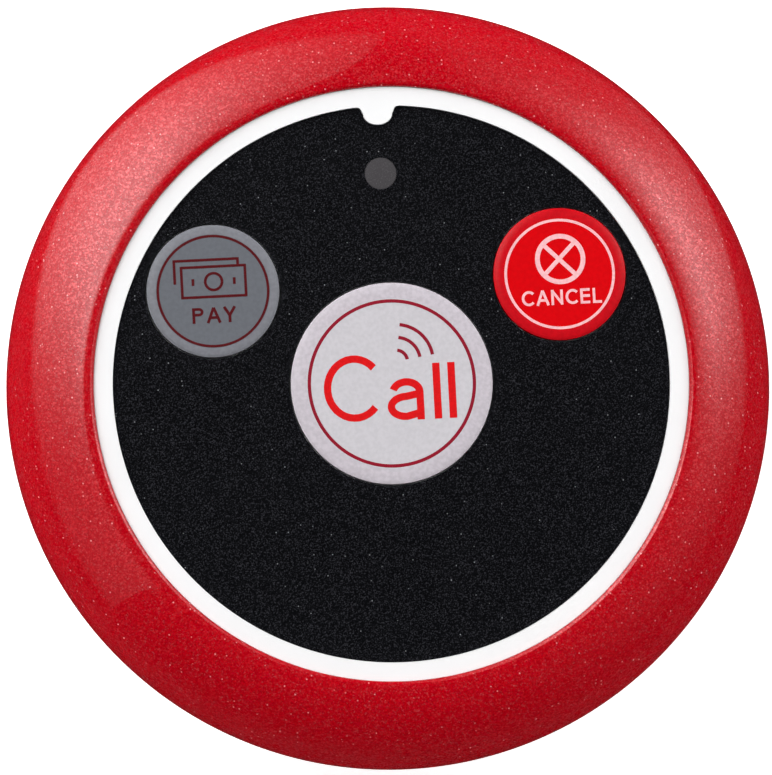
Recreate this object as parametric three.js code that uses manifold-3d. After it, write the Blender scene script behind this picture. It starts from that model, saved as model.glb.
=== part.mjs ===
// A round table pager with three keys: a wireless call button with a red bezel ring, a white two-part case,
// a circuit board with three tact switches, and one cylindrical cell behind a sliding door.
// Millimetres. +Z is up, away from the table. The origin is the middle of the plane that the feet stand on,
// and +Y points to the lamp window at the top of the face.

import * as THREE from "three";
import { mergeVertices } from "three/addons/utils/BufferGeometryUtils.js";
import Module from "manifold-3d";

const wasm = await Module();
wasm.setup();

// ---------------------------------------------------------------- driving dimensions

// Face, seen from above.
const overlayRadius = 24.93; // black face film
const overlayThickness = 0.4;
const faceRingWidth = 1.65; // white ring left round the film
const notchHalfWidth = 1.6; // pointed tab of the face ring that reaches into the film
const notchDepth = 1.7;
const notchShoulder = 0.35; // rounding at the notch's mouth
const notchTipRound = 0.3; // rounding at its tip
const callKeyRadius = 9.05;
const smallKeyRadius = 5.95;
const smallKeyPitch = 18.0; // middle of the call key to the middle of a small key
const smallKeyAngle = 30.2; // degrees above the X axis
const ledWindowRadius = 1.42;
const ledWindowPitch = 18.9; // middle of the call key to the lamp window
const ledWindowCollar = 0.6; // collar under the face plate
const ledWindowCollarHeight = 0.8;

// Bezel ring.
const bezelWidth = 7.92; // edge of the white ring to the widest line
const bezelLipWidth = 1.2; // inner edge to the crest
const bezelWall = 1.8;
const bezelRise = 6.8; // widest line to the crest
const bezelProud = 0.8; // crest above the white ring
const bezelFullness = 2.2; // exponent of the rounded shoulder: 2 is an ellipse, more is squarer
const bezelTuck = 2.57; // lower edge inside the widest line
const clipCount = 6;
const clipWidth = 5;
const clipHeight = 1.1;
const clipRoot = 0.5; // how far a clip is sunk into the ring's wall
const lipHeightShare = 0.6; // height of the lip's rounded edge against its width
const lipRib = 0.4; // the lip's stem reaches this far outside the crest

// Case.
const footProud = 0.8;
const footRadius = 3.5;
const footInset = 0.4; // how far a foot is let into the floor
const floorThickness = 1.4;
const floorChamfer = 1.6;
const shellWall = 1.4;
const skirtOffset = 3.0; // outside of the skirt beyond the white ring
const flangeWidth = 0.9; // flange that the bezel clips hold under
const flangeHeight = 1.4;
const rimHeight = 1.0; // ledge that the bezel stands on, above the floor
const rearWallHeight = 7.8; // rear shell's wall, above the floor
const sealThickness = 0.6;
const sealWidth = 1.0;
const pocketFloorThickness = 1.0;
const plateStepDepth = 1.2; // the plate is thicker by this where it turns down into the skirt
const plateStepWidth = 0.8;
const rimSetback = 0.45; // rear shell's rim inside the bezel's lower edge

// Keys and switches.
const keyThickness = 1.25;
const keyCrown = 0.1; // middle of a key above its edge
const keyEdgeRound = 0.25;
const keyCrownRadius = 0.6; // share of a key's radius where the crown has its one bend
const keyProud = 0.25; // top of a key above the film
const keyTravel = 0.4;
const keyStemRadius = 2.0;
const legWidth = 2.0;
const legThickness = 0.9;
const legReach = 0.9; // leg below the face plate
const barbReach = 0.5;
const callLegInset = 2.65; // middle of a leg to the key's edge
const smallLegInset = 1.65;
const switchSide = 5.2;
const switchHeight = 1.5;
const plungerRadius = 1.75;
const plungerProud = 0.5;
const plungerLength = 1.0;

// Board and what it carries.
const boardThickness = 1.2;
const boardGap = 2.0; // board edge to the inside of the skirt
const boardScrewPitch = 20.5;
const boardScrewAngles = [70, 205, 335];
const boardBossRadius = 2.1;
const boardScrewShank = 0.7;
const boardScrewHead = 1.5;
const boardScrewHeadHeight = 1.0;
const boardScrewLength = 3.0;

// Battery, type 23A, and its bay.
const batteryDiameter = 10.3;
const batteryLength = 28.5;
const batteryNubRadius = 1.9;
const batteryNubLength = 1.2;
const springPlateInset = 2.33; // rear of the spring plate to the board's edge
const batteryToBoard = 0.4;
const bayWall = 1.0;
const contactThickness = 0.4;
const contactWidth = 7.0;
const springLength = 3.2;
const springWire = 0.5;
const springTurns = 3;
const stepsPerTurn = 12; // of a coiled wire
const springLargeRadius = 3.2;
const springSmallRadius = 1.9;

// Battery door.
const doorSeat = 2.45; // side of the door beyond the bay's inside
const tongueReach = 1.0;
const tongueThickness = 0.7;
const deckThickness = 1.0;
const deckBorder = 1.0;
const doorOverlap = 1.1; // door beyond the bay's outer end
const ridgeCount = 3; // thumb ridges across the door
const ridgeHalfLength = 4;
const ridgeWidth = 0.7;
const ridgeSpacing = 1.6;
const ridgeHeight = 0.3;
const ridgeInset = 4; // first ridge to the inside of the wall

// Case screws and posts.
const caseScrewAngles = [55, 125, 235, 305];
const caseScrewInset = 5.7; // screw axis to the inside of the skirt
const postRadius = 2.4;
const screwBossRadius = 3.0;
const screwBossHeight = 2.0; // above the floor
const caseScrewShank = 0.85;
const caseScrewHead = 1.9;
const caseScrewHeadHeight = 1.5;
const caseScrewLength = 8.0;
const screwHeadSunk = 0.15; // head below the floor's outer face
const crossHalfLength = 0.55; // cross recess against the head's radius
const crossHalfWidth = 0.22;

// Feet.
const footAngles = [20, 160, 200, 340];
const footInsetFromWall = 4.4;
const footChamfer = 0.3;

// Electronics. A place is the middle of the part, seen from above.
const ledSize = [2.0, 1.25, 0.8];
const encoderPlace = [0, -13.4];
const encoderSize = [9.9, 3.9, 1.5];
const transistorPlace = [-8.5, -16.4];
const transistorSize = [2.9, 1.3, 1.0];
const resistorSize = [2.0, 1.25, 0.5];
const resistorRowY = -17.6;
const resistorRowX = [-4.8, -1.6, 1.6, 4.8];
const chipCapacitorSize = [2.0, 1.25, 0.9];
const chipCapacitorPlaces = [
  [-9, -12.6],
  [9, -12.6],
  [9, -16.4],
];
const canPlace = [14.2, -1.5];
const canRadius = 4.6; // at the brim
const canHeight = 3.5;
const canBrim = 0.6;
const canBrimHeight = 0.5;
const electrolyticPlace = [-13.5, 3.5];
const electrolyticRadius = 2.5;
const electrolyticHeight = 7;
const electrolyticBead = 0.25;
const antennaPlace = [-12.5, -13.5]; // end of the coil
const antennaRadius = 2.5;
const antennaWire = 0.7;
const antennaLength = 10;
const antennaTurns = 6;

// Clearances.
const fitGap = 0.15; // pieces that slide or drop into each other
const filmGap = 0.1;
const looseGap = 0.25;
const stackGap = 0.1; // between stacked flat pieces that move past each other
const threadGap = 0.05;
const batteryGap = 0.3;
const past = 1; // how far a cut runs past the face it opens
const sunk = 0.4; // how far a boss or rib runs into the plate it stands on
const edgeBreak = 0.3; // small chamfers

// Facets round a full turn.
const largeFacets = 48;
const keyFacets = 32;
const smallFacets = 16;
const pilotFacets = 12;
const batteryFacets = 20;
const outlineFacets = 24; // each arc of the face outline
const wireFacets = 6;

// ---------------------------------------------------------------- levels, from the table up

const floorBottom = footProud;
const floorTop = floorBottom + floorThickness;
const rimTop = floorTop + rimHeight;
const rearWallTop = floorTop + rearWallHeight;
const sealTop = rearWallTop + sealThickness;
const bossTop = floorTop + screwBossHeight;
const doorTop = floorTop;
const deckBottom = doorTop + stackGap;
const deckTop = deckBottom + deckThickness;
const batteryAxisZ = doorTop + batteryGap + batteryDiameter / 2;
const boardBottom = batteryAxisZ + batteryDiameter / 2 + batteryToBoard;
const boardTop = boardBottom + boardThickness;
const switchTop = boardTop + switchHeight;
const plungerTop = switchTop + plungerProud;
const plateBottom = plungerTop;
const pocketFloor = plateBottom + pocketFloorThickness;
const keyBottom = pocketFloor + keyTravel + stackGap;
const keyTop = keyBottom + keyThickness;
const overlayTop = keyTop - keyProud;
const plateTop = overlayTop - overlayThickness;
const faceRingTop = overlayTop + filmGap;
const crestTop = faceRingTop + bezelProud;
const widestZ = crestTop - bezelRise;
const flangeTop = plateBottom + bezelLipWidth / 2 - stackGap;
const flangeBottom = flangeTop - flangeHeight;
const legBottom = plateBottom - legReach;

// ---------------------------------------------------------------- radii, from the face out

const faceRingRadius = overlayRadius + faceRingWidth;
const bezelRadius = faceRingRadius + bezelWidth;
const bezelInnerRadius = faceRingRadius + fitGap;
const crestRadius = bezelInnerRadius + bezelLipWidth;
const skirtOuter = faceRingRadius + skirtOffset;
const skirtInner = skirtOuter - shellWall;
const flangeRadius = skirtOuter + flangeWidth;
const boardRadius = skirtInner - boardGap;
const caseScrewPitch = skirtInner - caseScrewInset;
const footPitch = skirtInner - footInsetFromWall;

// ---------------------------------------------------------------- battery bay, along Y

const bayHalfWidth = batteryDiameter / 2 + looseGap;
const springPlateRear = springPlateInset - boardRadius;
const springPlateFront = springPlateRear + contactThickness;
const batteryRear = springPlateFront + springLength;
const batteryFront = batteryRear + batteryLength;
const contactFront = batteryFront + contactThickness;
const bayFront = contactFront + looseGap;
const bayRear = springPlateRear - looseGap;
const doorFront = bayFront + bayWall + doorOverlap;
const doorHalfWidth = bayHalfWidth + doorSeat;
const deckHalfWidth = doorHalfWidth + fitGap + tongueReach + deckBorder;
const tongueHalfWidth = doorHalfWidth + tongueReach;
const tongueBottom = doorTop - tongueThickness;

// ---------------------------------------------------------------- materials

const finish = (color, roughness, metalness = 0) =>
  new THREE.MeshStandardMaterial({ color, roughness, metalness, flatShading: true });

const redMetallic = finish(0xc8102e, 0.25, 0.3);
const whitePlastic = finish(0xf4f4f4, 0.4);
const blackFilm = finish(0x141416, 0.55);
const greyKey = finish(0xd5d1d7, 0.45);
const darkGreyKey = finish(0x7a7c82, 0.45);
const redKey = finish(0xdd0a10, 0.4);
const smokyWindow = finish(0x4b484a, 0.3);
const blackPlastic = finish(0x1b1b1d, 0.5);
const steel = finish(0xb9bcc0, 0.3, 1);
const copper = finish(0xb87333, 0.35, 1);
const boardGreen = finish(0x14603a, 0.5);
const ledWhite = finish(0xf2f0da, 0.3);
const capacitorSleeve = finish(0x23324f, 0.45);
const capacitorBrown = finish(0x9a7a55, 0.5);
const batterySleeve = finish(0x2d5b8a, 0.35, 0.3);
const foamGrey = finish(0x3c3d40, 0.95);
const rubber = finish(0x2a2a2c, 0.9);

// ---------------------------------------------------------------- solids

const degrees = (angle) => (angle * Math.PI) / 180;
const around = (pitch, angle) => [
  pitch * Math.cos(degrees(angle)),
  pitch * Math.sin(degrees(angle)),
];

// Turns a closed three.js geometry into a solid for joining and cutting.
function solid(geometry) {
  const bare = geometry.clone();
  bare.deleteAttribute("normal");
  bare.deleteAttribute("uv");
  const merged = mergeVertices(bare);
  return new wasm.Manifold(
    new wasm.Mesh({
      numProp: 3,
      vertProperties: merged.attributes.position.array,
      triVerts: new Uint32Array(merged.index.array),
    }),
  );
}

// Turns a solid back into a three.js geometry.
function geometryOf(body) {
  const mesh = body.getMesh();
  const geometry = new THREE.BufferGeometry();
  geometry.setAttribute("position", new THREE.BufferAttribute(mesh.vertProperties, 3));
  geometry.setIndex(new THREE.BufferAttribute(mesh.triVerts, 1));
  geometry.computeVertexNormals();
  return geometry;
}

const join = (first, ...others) => others.reduce((sum, next) => sum.add(next), first);
const cut = (first, ...others) => others.reduce((rest, next) => rest.subtract(next), first);

// A shape turned about Z from a profile of [radius, height] points, counterclockwise.
function turned(profile, facets = largeFacets) {
  const points = profile.map(([radius, height]) => new THREE.Vector2(radius, height));
  const onAxis = profile[0][0] === 0;
  if (!onAxis) points.push(points[0].clone());
  return solid(new THREE.LatheGeometry(points, facets).rotateX(Math.PI / 2));
}

// An upright cylinder between two heights.
const cylinder = (radius, bottom, top, [x, y] = [0, 0], facets = smallFacets) =>
  solid(
    new THREE.CylinderGeometry(radius, radius, top - bottom, facets)
      .rotateX(Math.PI / 2)
      .translate(x, y, (bottom + top) / 2),
  );

// A box from its limits along each axis.
const block = ([left, right], [front, back], [bottom, top]) =>
  solid(
    new THREE.BoxGeometry(right - left, back - front, top - bottom).translate(
      (left + right) / 2,
      (front + back) / 2,
      (bottom + top) / 2,
    ),
  );

// A box that reaches outwards along a radius at an angle about [x, y].
function radialBlock([inner, outer], width, [bottom, top], angle, [x, y] = [0, 0]) {
  const box = new THREE.BoxGeometry(outer - inner, width, top - bottom);
  box.translate((inner + outer) / 2, 0, (bottom + top) / 2);
  return solid(box.rotateZ(degrees(angle)).translate(x, y, 0));
}

// An upright prism from a closed outline.
const prism = (shape, bottom, top) =>
  solid(
    new THREE.ExtrudeGeometry(shape, {
      depth: top - bottom,
      bevelEnabled: false,
      curveSegments: outlineFacets,
    }).translate(0, 0, bottom),
  );

const group = new THREE.Group();

function place(name, body, material) {
  const mesh = new THREE.Mesh(geometryOf(body), material);
  mesh.name = name;
  group.add(mesh);
}

// ---------------------------------------------------------------- the three keys

const keys = [
  {
    name: "call",
    middle: [0, 0],
    radius: callKeyRadius,
    material: greyKey,
    legPitch: callKeyRadius - callLegInset,
    legAngles: [90, 210, 330],
  },
  {
    name: "pay",
    middle: around(smallKeyPitch, 180 - smallKeyAngle),
    radius: smallKeyRadius,
    material: darkGreyKey,
    legPitch: smallKeyRadius - smallLegInset,
    legAngles: [0, 180],
  },
  {
    name: "cancel",
    middle: around(smallKeyPitch, smallKeyAngle),
    radius: smallKeyRadius,
    material: redKey,
    legPitch: smallKeyRadius - smallLegInset,
    legAngles: [0, 180],
  },
];

const ledMiddle = [0, ledWindowPitch];
const caseScrewPlaces = caseScrewAngles.map((angle) => around(caseScrewPitch, angle));
const boardScrewPlaces = boardScrewAngles.map((angle) => around(boardScrewPitch, angle));
const footPlaces = footAngles.map((angle) => around(footPitch, angle));

// A cap with a rounded top edge and a slight crown, a middle stem that meets the plunger, and snap legs.
function keyCap({ middle: [x, y], radius, legPitch, legAngles }) {
  const edgeTop = keyTop - keyCrown;
  const round = new THREE.EllipseCurve(
    radius - keyEdgeRound,
    edgeTop - keyEdgeRound,
    keyEdgeRound,
    keyEdgeRound,
    0,
    Math.PI / 2,
  );
  const edge = round.getPoints(3).map((point) => [point.x, point.y]);
  const crown = [
    [radius * keyCrownRadius, edgeTop + keyCrown * (1 - keyCrownRadius ** 2)],
    [0, keyTop],
  ];
  const cap = turned([[0, keyBottom], [radius, keyBottom], ...edge, ...crown], keyFacets).translate(x, y, 0);
  const inCap = keyBottom + keyThickness / 4;
  const stem = cylinder(keyStemRadius, plungerTop, inCap, [x, y]);
  const barbTop = plateBottom - stackGap;
  const legInner = legPitch - legThickness / 2;
  const legOuter = legPitch + legThickness / 2;
  const legs = legAngles.flatMap((angle) => [
    radialBlock([legInner, legOuter], legWidth, [legBottom, inCap], angle, [x, y]),
    radialBlock([legInner, legOuter + barbReach], legWidth, [legBottom, barbTop], angle, [x, y]),
  ]);
  return join(cap, stem, ...legs);
}

// What a key needs out of the face plate: its pocket, the stem's guide hole and a slot for each leg.
function keyRoom({ middle: [x, y], radius, legPitch, legAngles }) {
  const pocket = cylinder(radius + fitGap, pocketFloor, faceRingTop + past, [x, y], keyFacets);
  const below = plateBottom - past;
  const above = pocketFloor + sunk;
  const guide = cylinder(keyStemRadius + looseGap, below, above, [x, y]);
  const reach = legThickness / 2 + looseGap;
  const slots = legAngles.map((angle) =>
    radialBlock([legPitch - reach, legPitch + reach], legWidth + 2 * looseGap, [below, above], angle, [x, y]),
  );
  return join(pocket, guide, ...slots);
}

for (const key of keys) place(`${key.name}_key_cap`, keyCap(key), key.material);

// ---------------------------------------------------------------- face film and lamp window

// The film's outline: a circle with a notch at the top, its mouth and tip rounded.
function faceOutline(grow) {
  const radius = overlayRadius + grow;
  const mouth = notchHalfWidth - grow;
  const shoulder = mouth + notchShoulder;
  const side = mouth - notchShoulder / 2;
  const tip = overlayRadius - notchDepth + grow;
  const shoulderAngle = Math.asin(shoulder / radius);
  const shoulderY = radius * Math.cos(shoulderAngle);
  const sideY = shoulderY - notchShoulder;
  const outline = new THREE.Shape();
  outline.moveTo(-shoulder, shoulderY);
  outline.absarc(0, 0, radius, Math.PI / 2 + shoulderAngle, Math.PI / 2 - shoulderAngle + 2 * Math.PI);
  outline.quadraticCurveTo(mouth, shoulderY, side, sideY);
  outline.lineTo(mouth / 2, tip + notchTipRound);
  outline.quadraticCurveTo(0, tip - notchTipRound, -mouth / 2, tip + notchTipRound);
  outline.lineTo(-side, sideY);
  outline.quadraticCurveTo(-mouth, shoulderY, -shoulder, shoulderY);
  return outline;
}

const overlayHoles = [
  ...keys.map(({ middle, radius }) =>
    cylinder(radius + fitGap, plateTop - past, overlayTop + past, middle, keyFacets),
  ),
  cylinder(ledWindowRadius + threadGap, plateTop - past, overlayTop + past, ledMiddle),
];
place("overlay_film", cut(prism(faceOutline(0), plateTop, overlayTop), ...overlayHoles), blackFilm);

const windowBottom = plateBottom - ledWindowCollarHeight;
const windowCollarRadius = ledWindowRadius + ledWindowCollar;
place(
  "led_window",
  turned(
    [
      [0, windowBottom],
      [windowCollarRadius, windowBottom],
      [windowCollarRadius, plateBottom],
      [ledWindowRadius, plateBottom],
      [ledWindowRadius, overlayTop],
      [0, overlayTop],
    ],
    smallFacets,
  ).translate(...ledMiddle, 0),
  smokyWindow,
);

// ---------------------------------------------------------------- bezel ring

// Radius of the ring's outside at a height below its widest line.
const bezelDrop = widestZ - rimTop;
const tuckArc = (bezelTuck ** 2 + bezelDrop ** 2) / (2 * bezelTuck);
const tuckedRadius = (height) => bezelRadius - tuckArc + Math.sqrt(tuckArc ** 2 - (widestZ - height) ** 2);

// Points of the rounded shoulder from the widest line up to the crest, inset by a wall.
function shoulder(inset, steps, stopRadius) {
  const width = bezelRadius - crestRadius - inset;
  const rise = bezelRise - inset;
  const power = 2 / bezelFullness;
  const at = (turn) => [
    crestRadius + width * Math.cos(turn) ** power,
    widestZ + rise * Math.sin(turn) ** power,
  ];
  const lastTurn = Math.acos(((stopRadius - crestRadius) / width) ** (1 / power));
  return Array.from({ length: steps + 1 }, (_, step) => at((lastTurn * step) / steps));
}

function bezelRing() {
  const lowShares = [0, 1 / 3, 2 / 3]; // of the way up to the widest line
  const heights = lowShares.map((share) => rimTop + bezelDrop * share);
  const outerLow = heights.map((height) => [tuckedRadius(height), height]);
  const innerLow = heights.map((height) => [tuckedRadius(height) - bezelWall, height]).reverse();
  const lipHeight = bezelLipWidth * lipHeightShare;
  const lipEdge = new THREE.EllipseCurve(
    crestRadius,
    crestTop - lipHeight,
    bezelLipWidth,
    lipHeight,
    Math.PI / 2,
    Math.PI,
  );
  const lip = lipEdge.getPoints(3).map((point) => [point.x, point.y]);
  const lipOutside = crestRadius + lipRib;
  const inside = shoulder(bezelWall, 4, lipOutside).reverse();
  const ring = turned([
    ...outerLow,
    ...shoulder(0, 8, crestRadius).slice(0, -1),
    ...lip,
    [bezelInnerRadius, flangeTop],
    [lipOutside, flangeTop],
    ...inside,
    ...innerLow,
  ]);
  const clipTop = flangeBottom - fitGap;
  const clips = Array.from({ length: clipCount }, (_, index) =>
    radialBlock(
      [flangeRadius - flangeWidth / 2, bezelRadius - bezelWall + clipRoot],
      clipWidth,
      [clipTop - clipHeight, clipTop],
      (360 * (index + 0.5)) / clipCount,
    ),
  );
  return join(ring, ...clips);
}
place("bezel_ring", bezelRing(), redMetallic);

// ---------------------------------------------------------------- front shell

function frontShell() {
  const body = turned([
    [0, plateBottom],
    [boardRadius - plateStepWidth, plateBottom],
    [boardRadius, plateBottom - plateStepDepth],
    [skirtInner, plateBottom - plateStepDepth],
    [skirtInner, sealTop],
    [skirtOuter, sealTop],
    [skirtOuter, flangeBottom],
    [flangeRadius, flangeBottom],
    [flangeRadius, flangeTop],
    [faceRingRadius, flangeTop],
    [faceRingRadius, faceRingTop],
    [0, faceRingTop],
  ]);
  const intoPlate = plateBottom + sunk;
  const posts = caseScrewPlaces.map((middle) => cylinder(postRadius, bossTop, intoPlate, middle));
  const bosses = boardScrewPlaces.map((middle) => cylinder(boardBossRadius, boardTop, intoPlate, middle));
  const filmRecess = prism(faceOutline(filmGap), plateTop, faceRingTop + past);
  const lampHole = cylinder(ledWindowRadius + threadGap, plateBottom - past, faceRingTop, ledMiddle);
  const postPilots = caseScrewPlaces.map((middle) =>
    cylinder(caseScrewShank + threadGap, bossTop - past, bossTop + caseScrewLength, middle, pilotFacets),
  );
  const pilotTop = boardBottom + boardScrewLength + stackGap;
  const bossPilots = boardScrewPlaces.map((middle) =>
    cylinder(boardScrewShank + threadGap, boardTop - past, pilotTop, middle, pilotFacets),
  );
  const whole = join(body, ...posts, ...bosses);
  return cut(whole, filmRecess, lampHole, ...keys.map(keyRoom), ...postPilots, ...bossPilots);
}
place("front_shell", frontShell(), whitePlastic);

// ---------------------------------------------------------------- rear shell and battery door

const rimRadius = tuckedRadius(rimTop) - rimSetback;

// The tray's outside below the ledge, which the door's outer end follows too.
const trayFoot = [
  [0, floorBottom],
  [rimRadius - floorChamfer, floorBottom],
  [rimRadius, floorBottom + floorChamfer],
  [rimRadius, rimTop],
];

function rearShell() {
  const tray = turned([
    ...trayFoot,
    [skirtOuter, rimTop],
    [skirtOuter, rearWallTop],
    [skirtInner, rearWallTop],
    [skirtInner, floorTop],
    [0, floorTop],
  ]);
  const bosses = caseScrewPlaces.map((middle) => cylinder(screwBossRadius, floorBottom, bossTop, middle));
  const deckLevels = [floorBottom, deckTop];
  const deckStrip = block([-deckHalfWidth, deckHalfWidth], [-skirtOuter, doorFront + deckBorder], deckLevels);
  const inWall = cylinder(skirtInner + shellWall / 2, ...deckLevels, [0, 0], largeFacets);
  const deck = deckStrip.intersect(inWall);
  const bayTop = boardBottom - batteryToBoard / 2;
  const bayOuter = bayHalfWidth + bayWall;
  const bayLevels = [deckBottom + deckThickness / 2, bayTop];
  const bayBlock = block([-bayOuter, bayOuter], [bayRear - bayWall, bayFront + bayWall], bayLevels);
  const bayWalls = bayBlock.intersect(cylinder(skirtInner - fitGap, ...bayLevels, [0, 0], largeFacets));
  const channelRear = -bezelRadius - past;
  const doorRoom = block(
    [-doorHalfWidth - fitGap, doorHalfWidth + fitGap],
    [channelRear, doorFront + fitGap],
    [floorBottom - past, deckBottom],
  );
  const tongueRoom = block(
    [-tongueHalfWidth - fitGap, tongueHalfWidth + fitGap],
    [channelRear, doorFront + fitGap],
    [tongueBottom - stackGap, deckBottom],
  );
  const bay = block([-bayHalfWidth, bayHalfWidth], [bayRear, bayFront], [floorBottom, bayTop + past]);
  const headSeat = floorBottom + screwHeadSunk + caseScrewHeadHeight;
  const counterbores = caseScrewPlaces.map((middle) =>
    cylinder(caseScrewHead + fitGap, floorBottom - past, headSeat, middle),
  );
  const shankHoles = caseScrewPlaces.map((middle) =>
    cylinder(caseScrewShank + looseGap, headSeat - past, bossTop + past, middle, pilotFacets),
  );
  const footSeats = footPlaces.map((middle) =>
    cylinder(footRadius + filmGap, floorBottom - past, floorBottom + footInset, middle),
  );
  return cut(
    join(tray, ...bosses, deck, bayWalls),
    doorRoom,
    tongueRoom,
    bay,
    ...counterbores,
    ...shankHoles,
    ...footSeats,
  );
}
place("rear_shell", rearShell(), whitePlastic);

// A plate with a tongue along each side, whose outer end follows the tray's edge, with thumb ridges below.
function batteryDoor() {
  const outline = turned([...trayFoot, [0, rimTop]]);
  const along = [-bezelRadius, doorFront];
  const plate = block([-doorHalfWidth, doorHalfWidth], along, [floorBottom, doorTop]);
  const tongues = block([-tongueHalfWidth, tongueHalfWidth], along, [tongueBottom, doorTop]);
  const ridges = Array.from({ length: ridgeCount }, (_, index) => {
    const rear = -skirtInner + ridgeInset + index * ridgeSpacing;
    const levels = [floorBottom - ridgeHeight, floorBottom + sunk];
    return block([-ridgeHalfLength, ridgeHalfLength], [rear, rear + ridgeWidth], levels);
  });
  return join(join(plate, tongues).intersect(outline), ...ridges);
}
place("battery_door", batteryDoor(), whitePlastic);

// ---------------------------------------------------------------- seal, screws and feet

place(
  "case_seal",
  turned([
    [skirtInner + (shellWall - sealWidth) / 2, rearWallTop],
    [skirtInner + (shellWall + sealWidth) / 2, rearWallTop],
    [skirtInner + (shellWall + sealWidth) / 2, sealTop],
    [skirtInner + (shellWall - sealWidth) / 2, sealTop],
  ]),
  foamGrey,
);

// A pan-head screw with a cross recess, standing head down on its seat.
function screw([x, y], seat, { headRadius, headHeight, shankRadius, length }) {
  const recessHalf = headRadius * crossHalfLength;
  const recessTop = seat - headHeight / 2;
  const head = cylinder(headRadius, seat - headHeight, seat, [x, y]);
  const shank = cylinder(shankRadius, seat - headHeight / 4, seat + length, [x, y], pilotFacets);
  const below = seat - headHeight - past;
  return cut(
    join(head, shank),
    block([x - recessHalf, x + recessHalf], [y - crossHalfWidth, y + crossHalfWidth], [below, recessTop]),
    block([x - crossHalfWidth, x + crossHalfWidth], [y - recessHalf, y + recessHalf], [below, recessTop]),
  );
}

caseScrewPlaces.forEach((middle, index) =>
  place(
    `case_screw_${index + 1}`,
    screw(middle, floorBottom + screwHeadSunk + caseScrewHeadHeight, {
      headRadius: caseScrewHead,
      headHeight: caseScrewHeadHeight,
      shankRadius: caseScrewShank,
      length: caseScrewLength,
    }),
    steel,
  ),
);

boardScrewPlaces.forEach((middle, index) =>
  place(
    `board_screw_${index + 1}`,
    screw(middle, boardBottom, {
      headRadius: boardScrewHead,
      headHeight: boardScrewHeadHeight,
      shankRadius: boardScrewShank,
      length: boardScrewLength,
    }),
    steel,
  ),
);

footPlaces.forEach((middle, index) => {
  const top = floorBottom + footInset;
  const foot = turned(
    [
      [0, 0],
      [footRadius - footChamfer, 0],
      [footRadius, footChamfer],
      [footRadius, top],
      [0, top],
    ],
    smallFacets,
  );
  place(`foot_${index + 1}`, foot.translate(...middle, 0), rubber);
});

// ---------------------------------------------------------------- board, switches and electronics

function mainBoard() {
  const disc = cylinder(boardRadius, boardBottom, boardTop, [0, 0], largeFacets);
  const postHoles = caseScrewPlaces.map((middle) =>
    cylinder(postRadius + looseGap, boardBottom - past, boardTop + past, middle),
  );
  const screwHoles = boardScrewPlaces.map((middle) =>
    cylinder(boardScrewShank + looseGap, boardBottom - past, boardTop + past, middle, pilotFacets),
  );
  return cut(disc, ...postHoles, ...screwHoles);
}
place("main_board", mainBoard(), boardGreen);

for (const { name, middle } of keys) {
  const [x, y] = middle;
  const half = switchSide / 2;
  const body = block([x - half, x + half], [y - half, y + half], [boardTop, switchTop]);
  const plungerBottom = plungerTop - plungerLength;
  const wellBottom = plungerBottom - keyTravel - stackGap;
  const well = cylinder(plungerRadius + fitGap, wellBottom, switchTop + past, middle);
  place(`${name}_switch_body`, cut(body, well), blackPlastic);
  place(`${name}_switch_stem`, cylinder(plungerRadius, plungerBottom, plungerTop, middle), blackPlastic);
}

// A flat component on the board's face side.
function chip(name, [x, y], [width, depth, height], material) {
  const across = [x - width / 2, x + width / 2];
  const along = [y - depth / 2, y + depth / 2];
  place(name, block(across, along, [boardTop, boardTop + height]), material);
}

chip("status_led", ledMiddle, ledSize, ledWhite);
chip("encoder_chip", encoderPlace, encoderSize, blackPlastic);
chip("rf_transistor", transistorPlace, transistorSize, blackPlastic);
resistorRowX.forEach((x, index) =>
  chip(`chip_resistor_${index + 1}`, [x, resistorRowY], resistorSize, blackPlastic),
);
chipCapacitorPlaces.forEach((middle, index) =>
  chip(`chip_capacitor_${index + 1}`, middle, chipCapacitorSize, capacitorBrown),
);

// Round cans that hang below the board, with a brim or a bead where the real can has one.
const canBody = canRadius - canBrim;
place(
  "saw_resonator",
  turned(
    [
      [0, boardBottom - canHeight],
      [canBody - edgeBreak, boardBottom - canHeight],
      [canBody, boardBottom - canHeight + edgeBreak],
      [canBody, boardBottom - canBrimHeight],
      [canRadius, boardBottom - canBrimHeight],
      [canRadius, boardBottom],
      [0, boardBottom],
    ],
    smallFacets,
  ).translate(...canPlace, 0),
  steel,
);

place(
  "electrolytic_capacitor",
  turned(
    [
      [0, boardBottom - electrolyticHeight],
      [electrolyticRadius - edgeBreak, boardBottom - electrolyticHeight],
      [electrolyticRadius, boardBottom - electrolyticHeight + edgeBreak],
      [electrolyticRadius, boardBottom - 4 * edgeBreak],
      [electrolyticRadius - electrolyticBead, boardBottom - 3 * edgeBreak],
      [electrolyticRadius, boardBottom - 2 * edgeBreak],
      [electrolyticRadius, boardBottom],
      [0, boardBottom],
    ],
    smallFacets,
  ).translate(...electrolyticPlace, 0),
  capacitorSleeve,
);

// A round wire bent along a helix whose radius runs evenly from one end to the other.
class Coil extends THREE.Curve {
  constructor(start, axis, length, turns, firstRadius, lastRadius) {
    super();
    Object.assign(this, { start, axis, length, turns, firstRadius, lastRadius });
  }
  getPoint(t, target = new THREE.Vector3()) {
    const turn = 2 * Math.PI * this.turns * t;
    const radius = this.firstRadius + (this.lastRadius - this.firstRadius) * t;
    target.set(radius * Math.cos(turn), this.length * t * this.axis, radius * Math.sin(turn));
    return target.add(this.start);
  }
}

function wire(curve, thickness, steps) {
  const section = new THREE.Shape();
  section.absarc(0, 0, thickness / 2, 0, 2 * Math.PI);
  const options = { steps, curveSegments: wireFacets / 2, extrudePath: curve };
  return solid(new THREE.ExtrudeGeometry(section, options));
}

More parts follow.
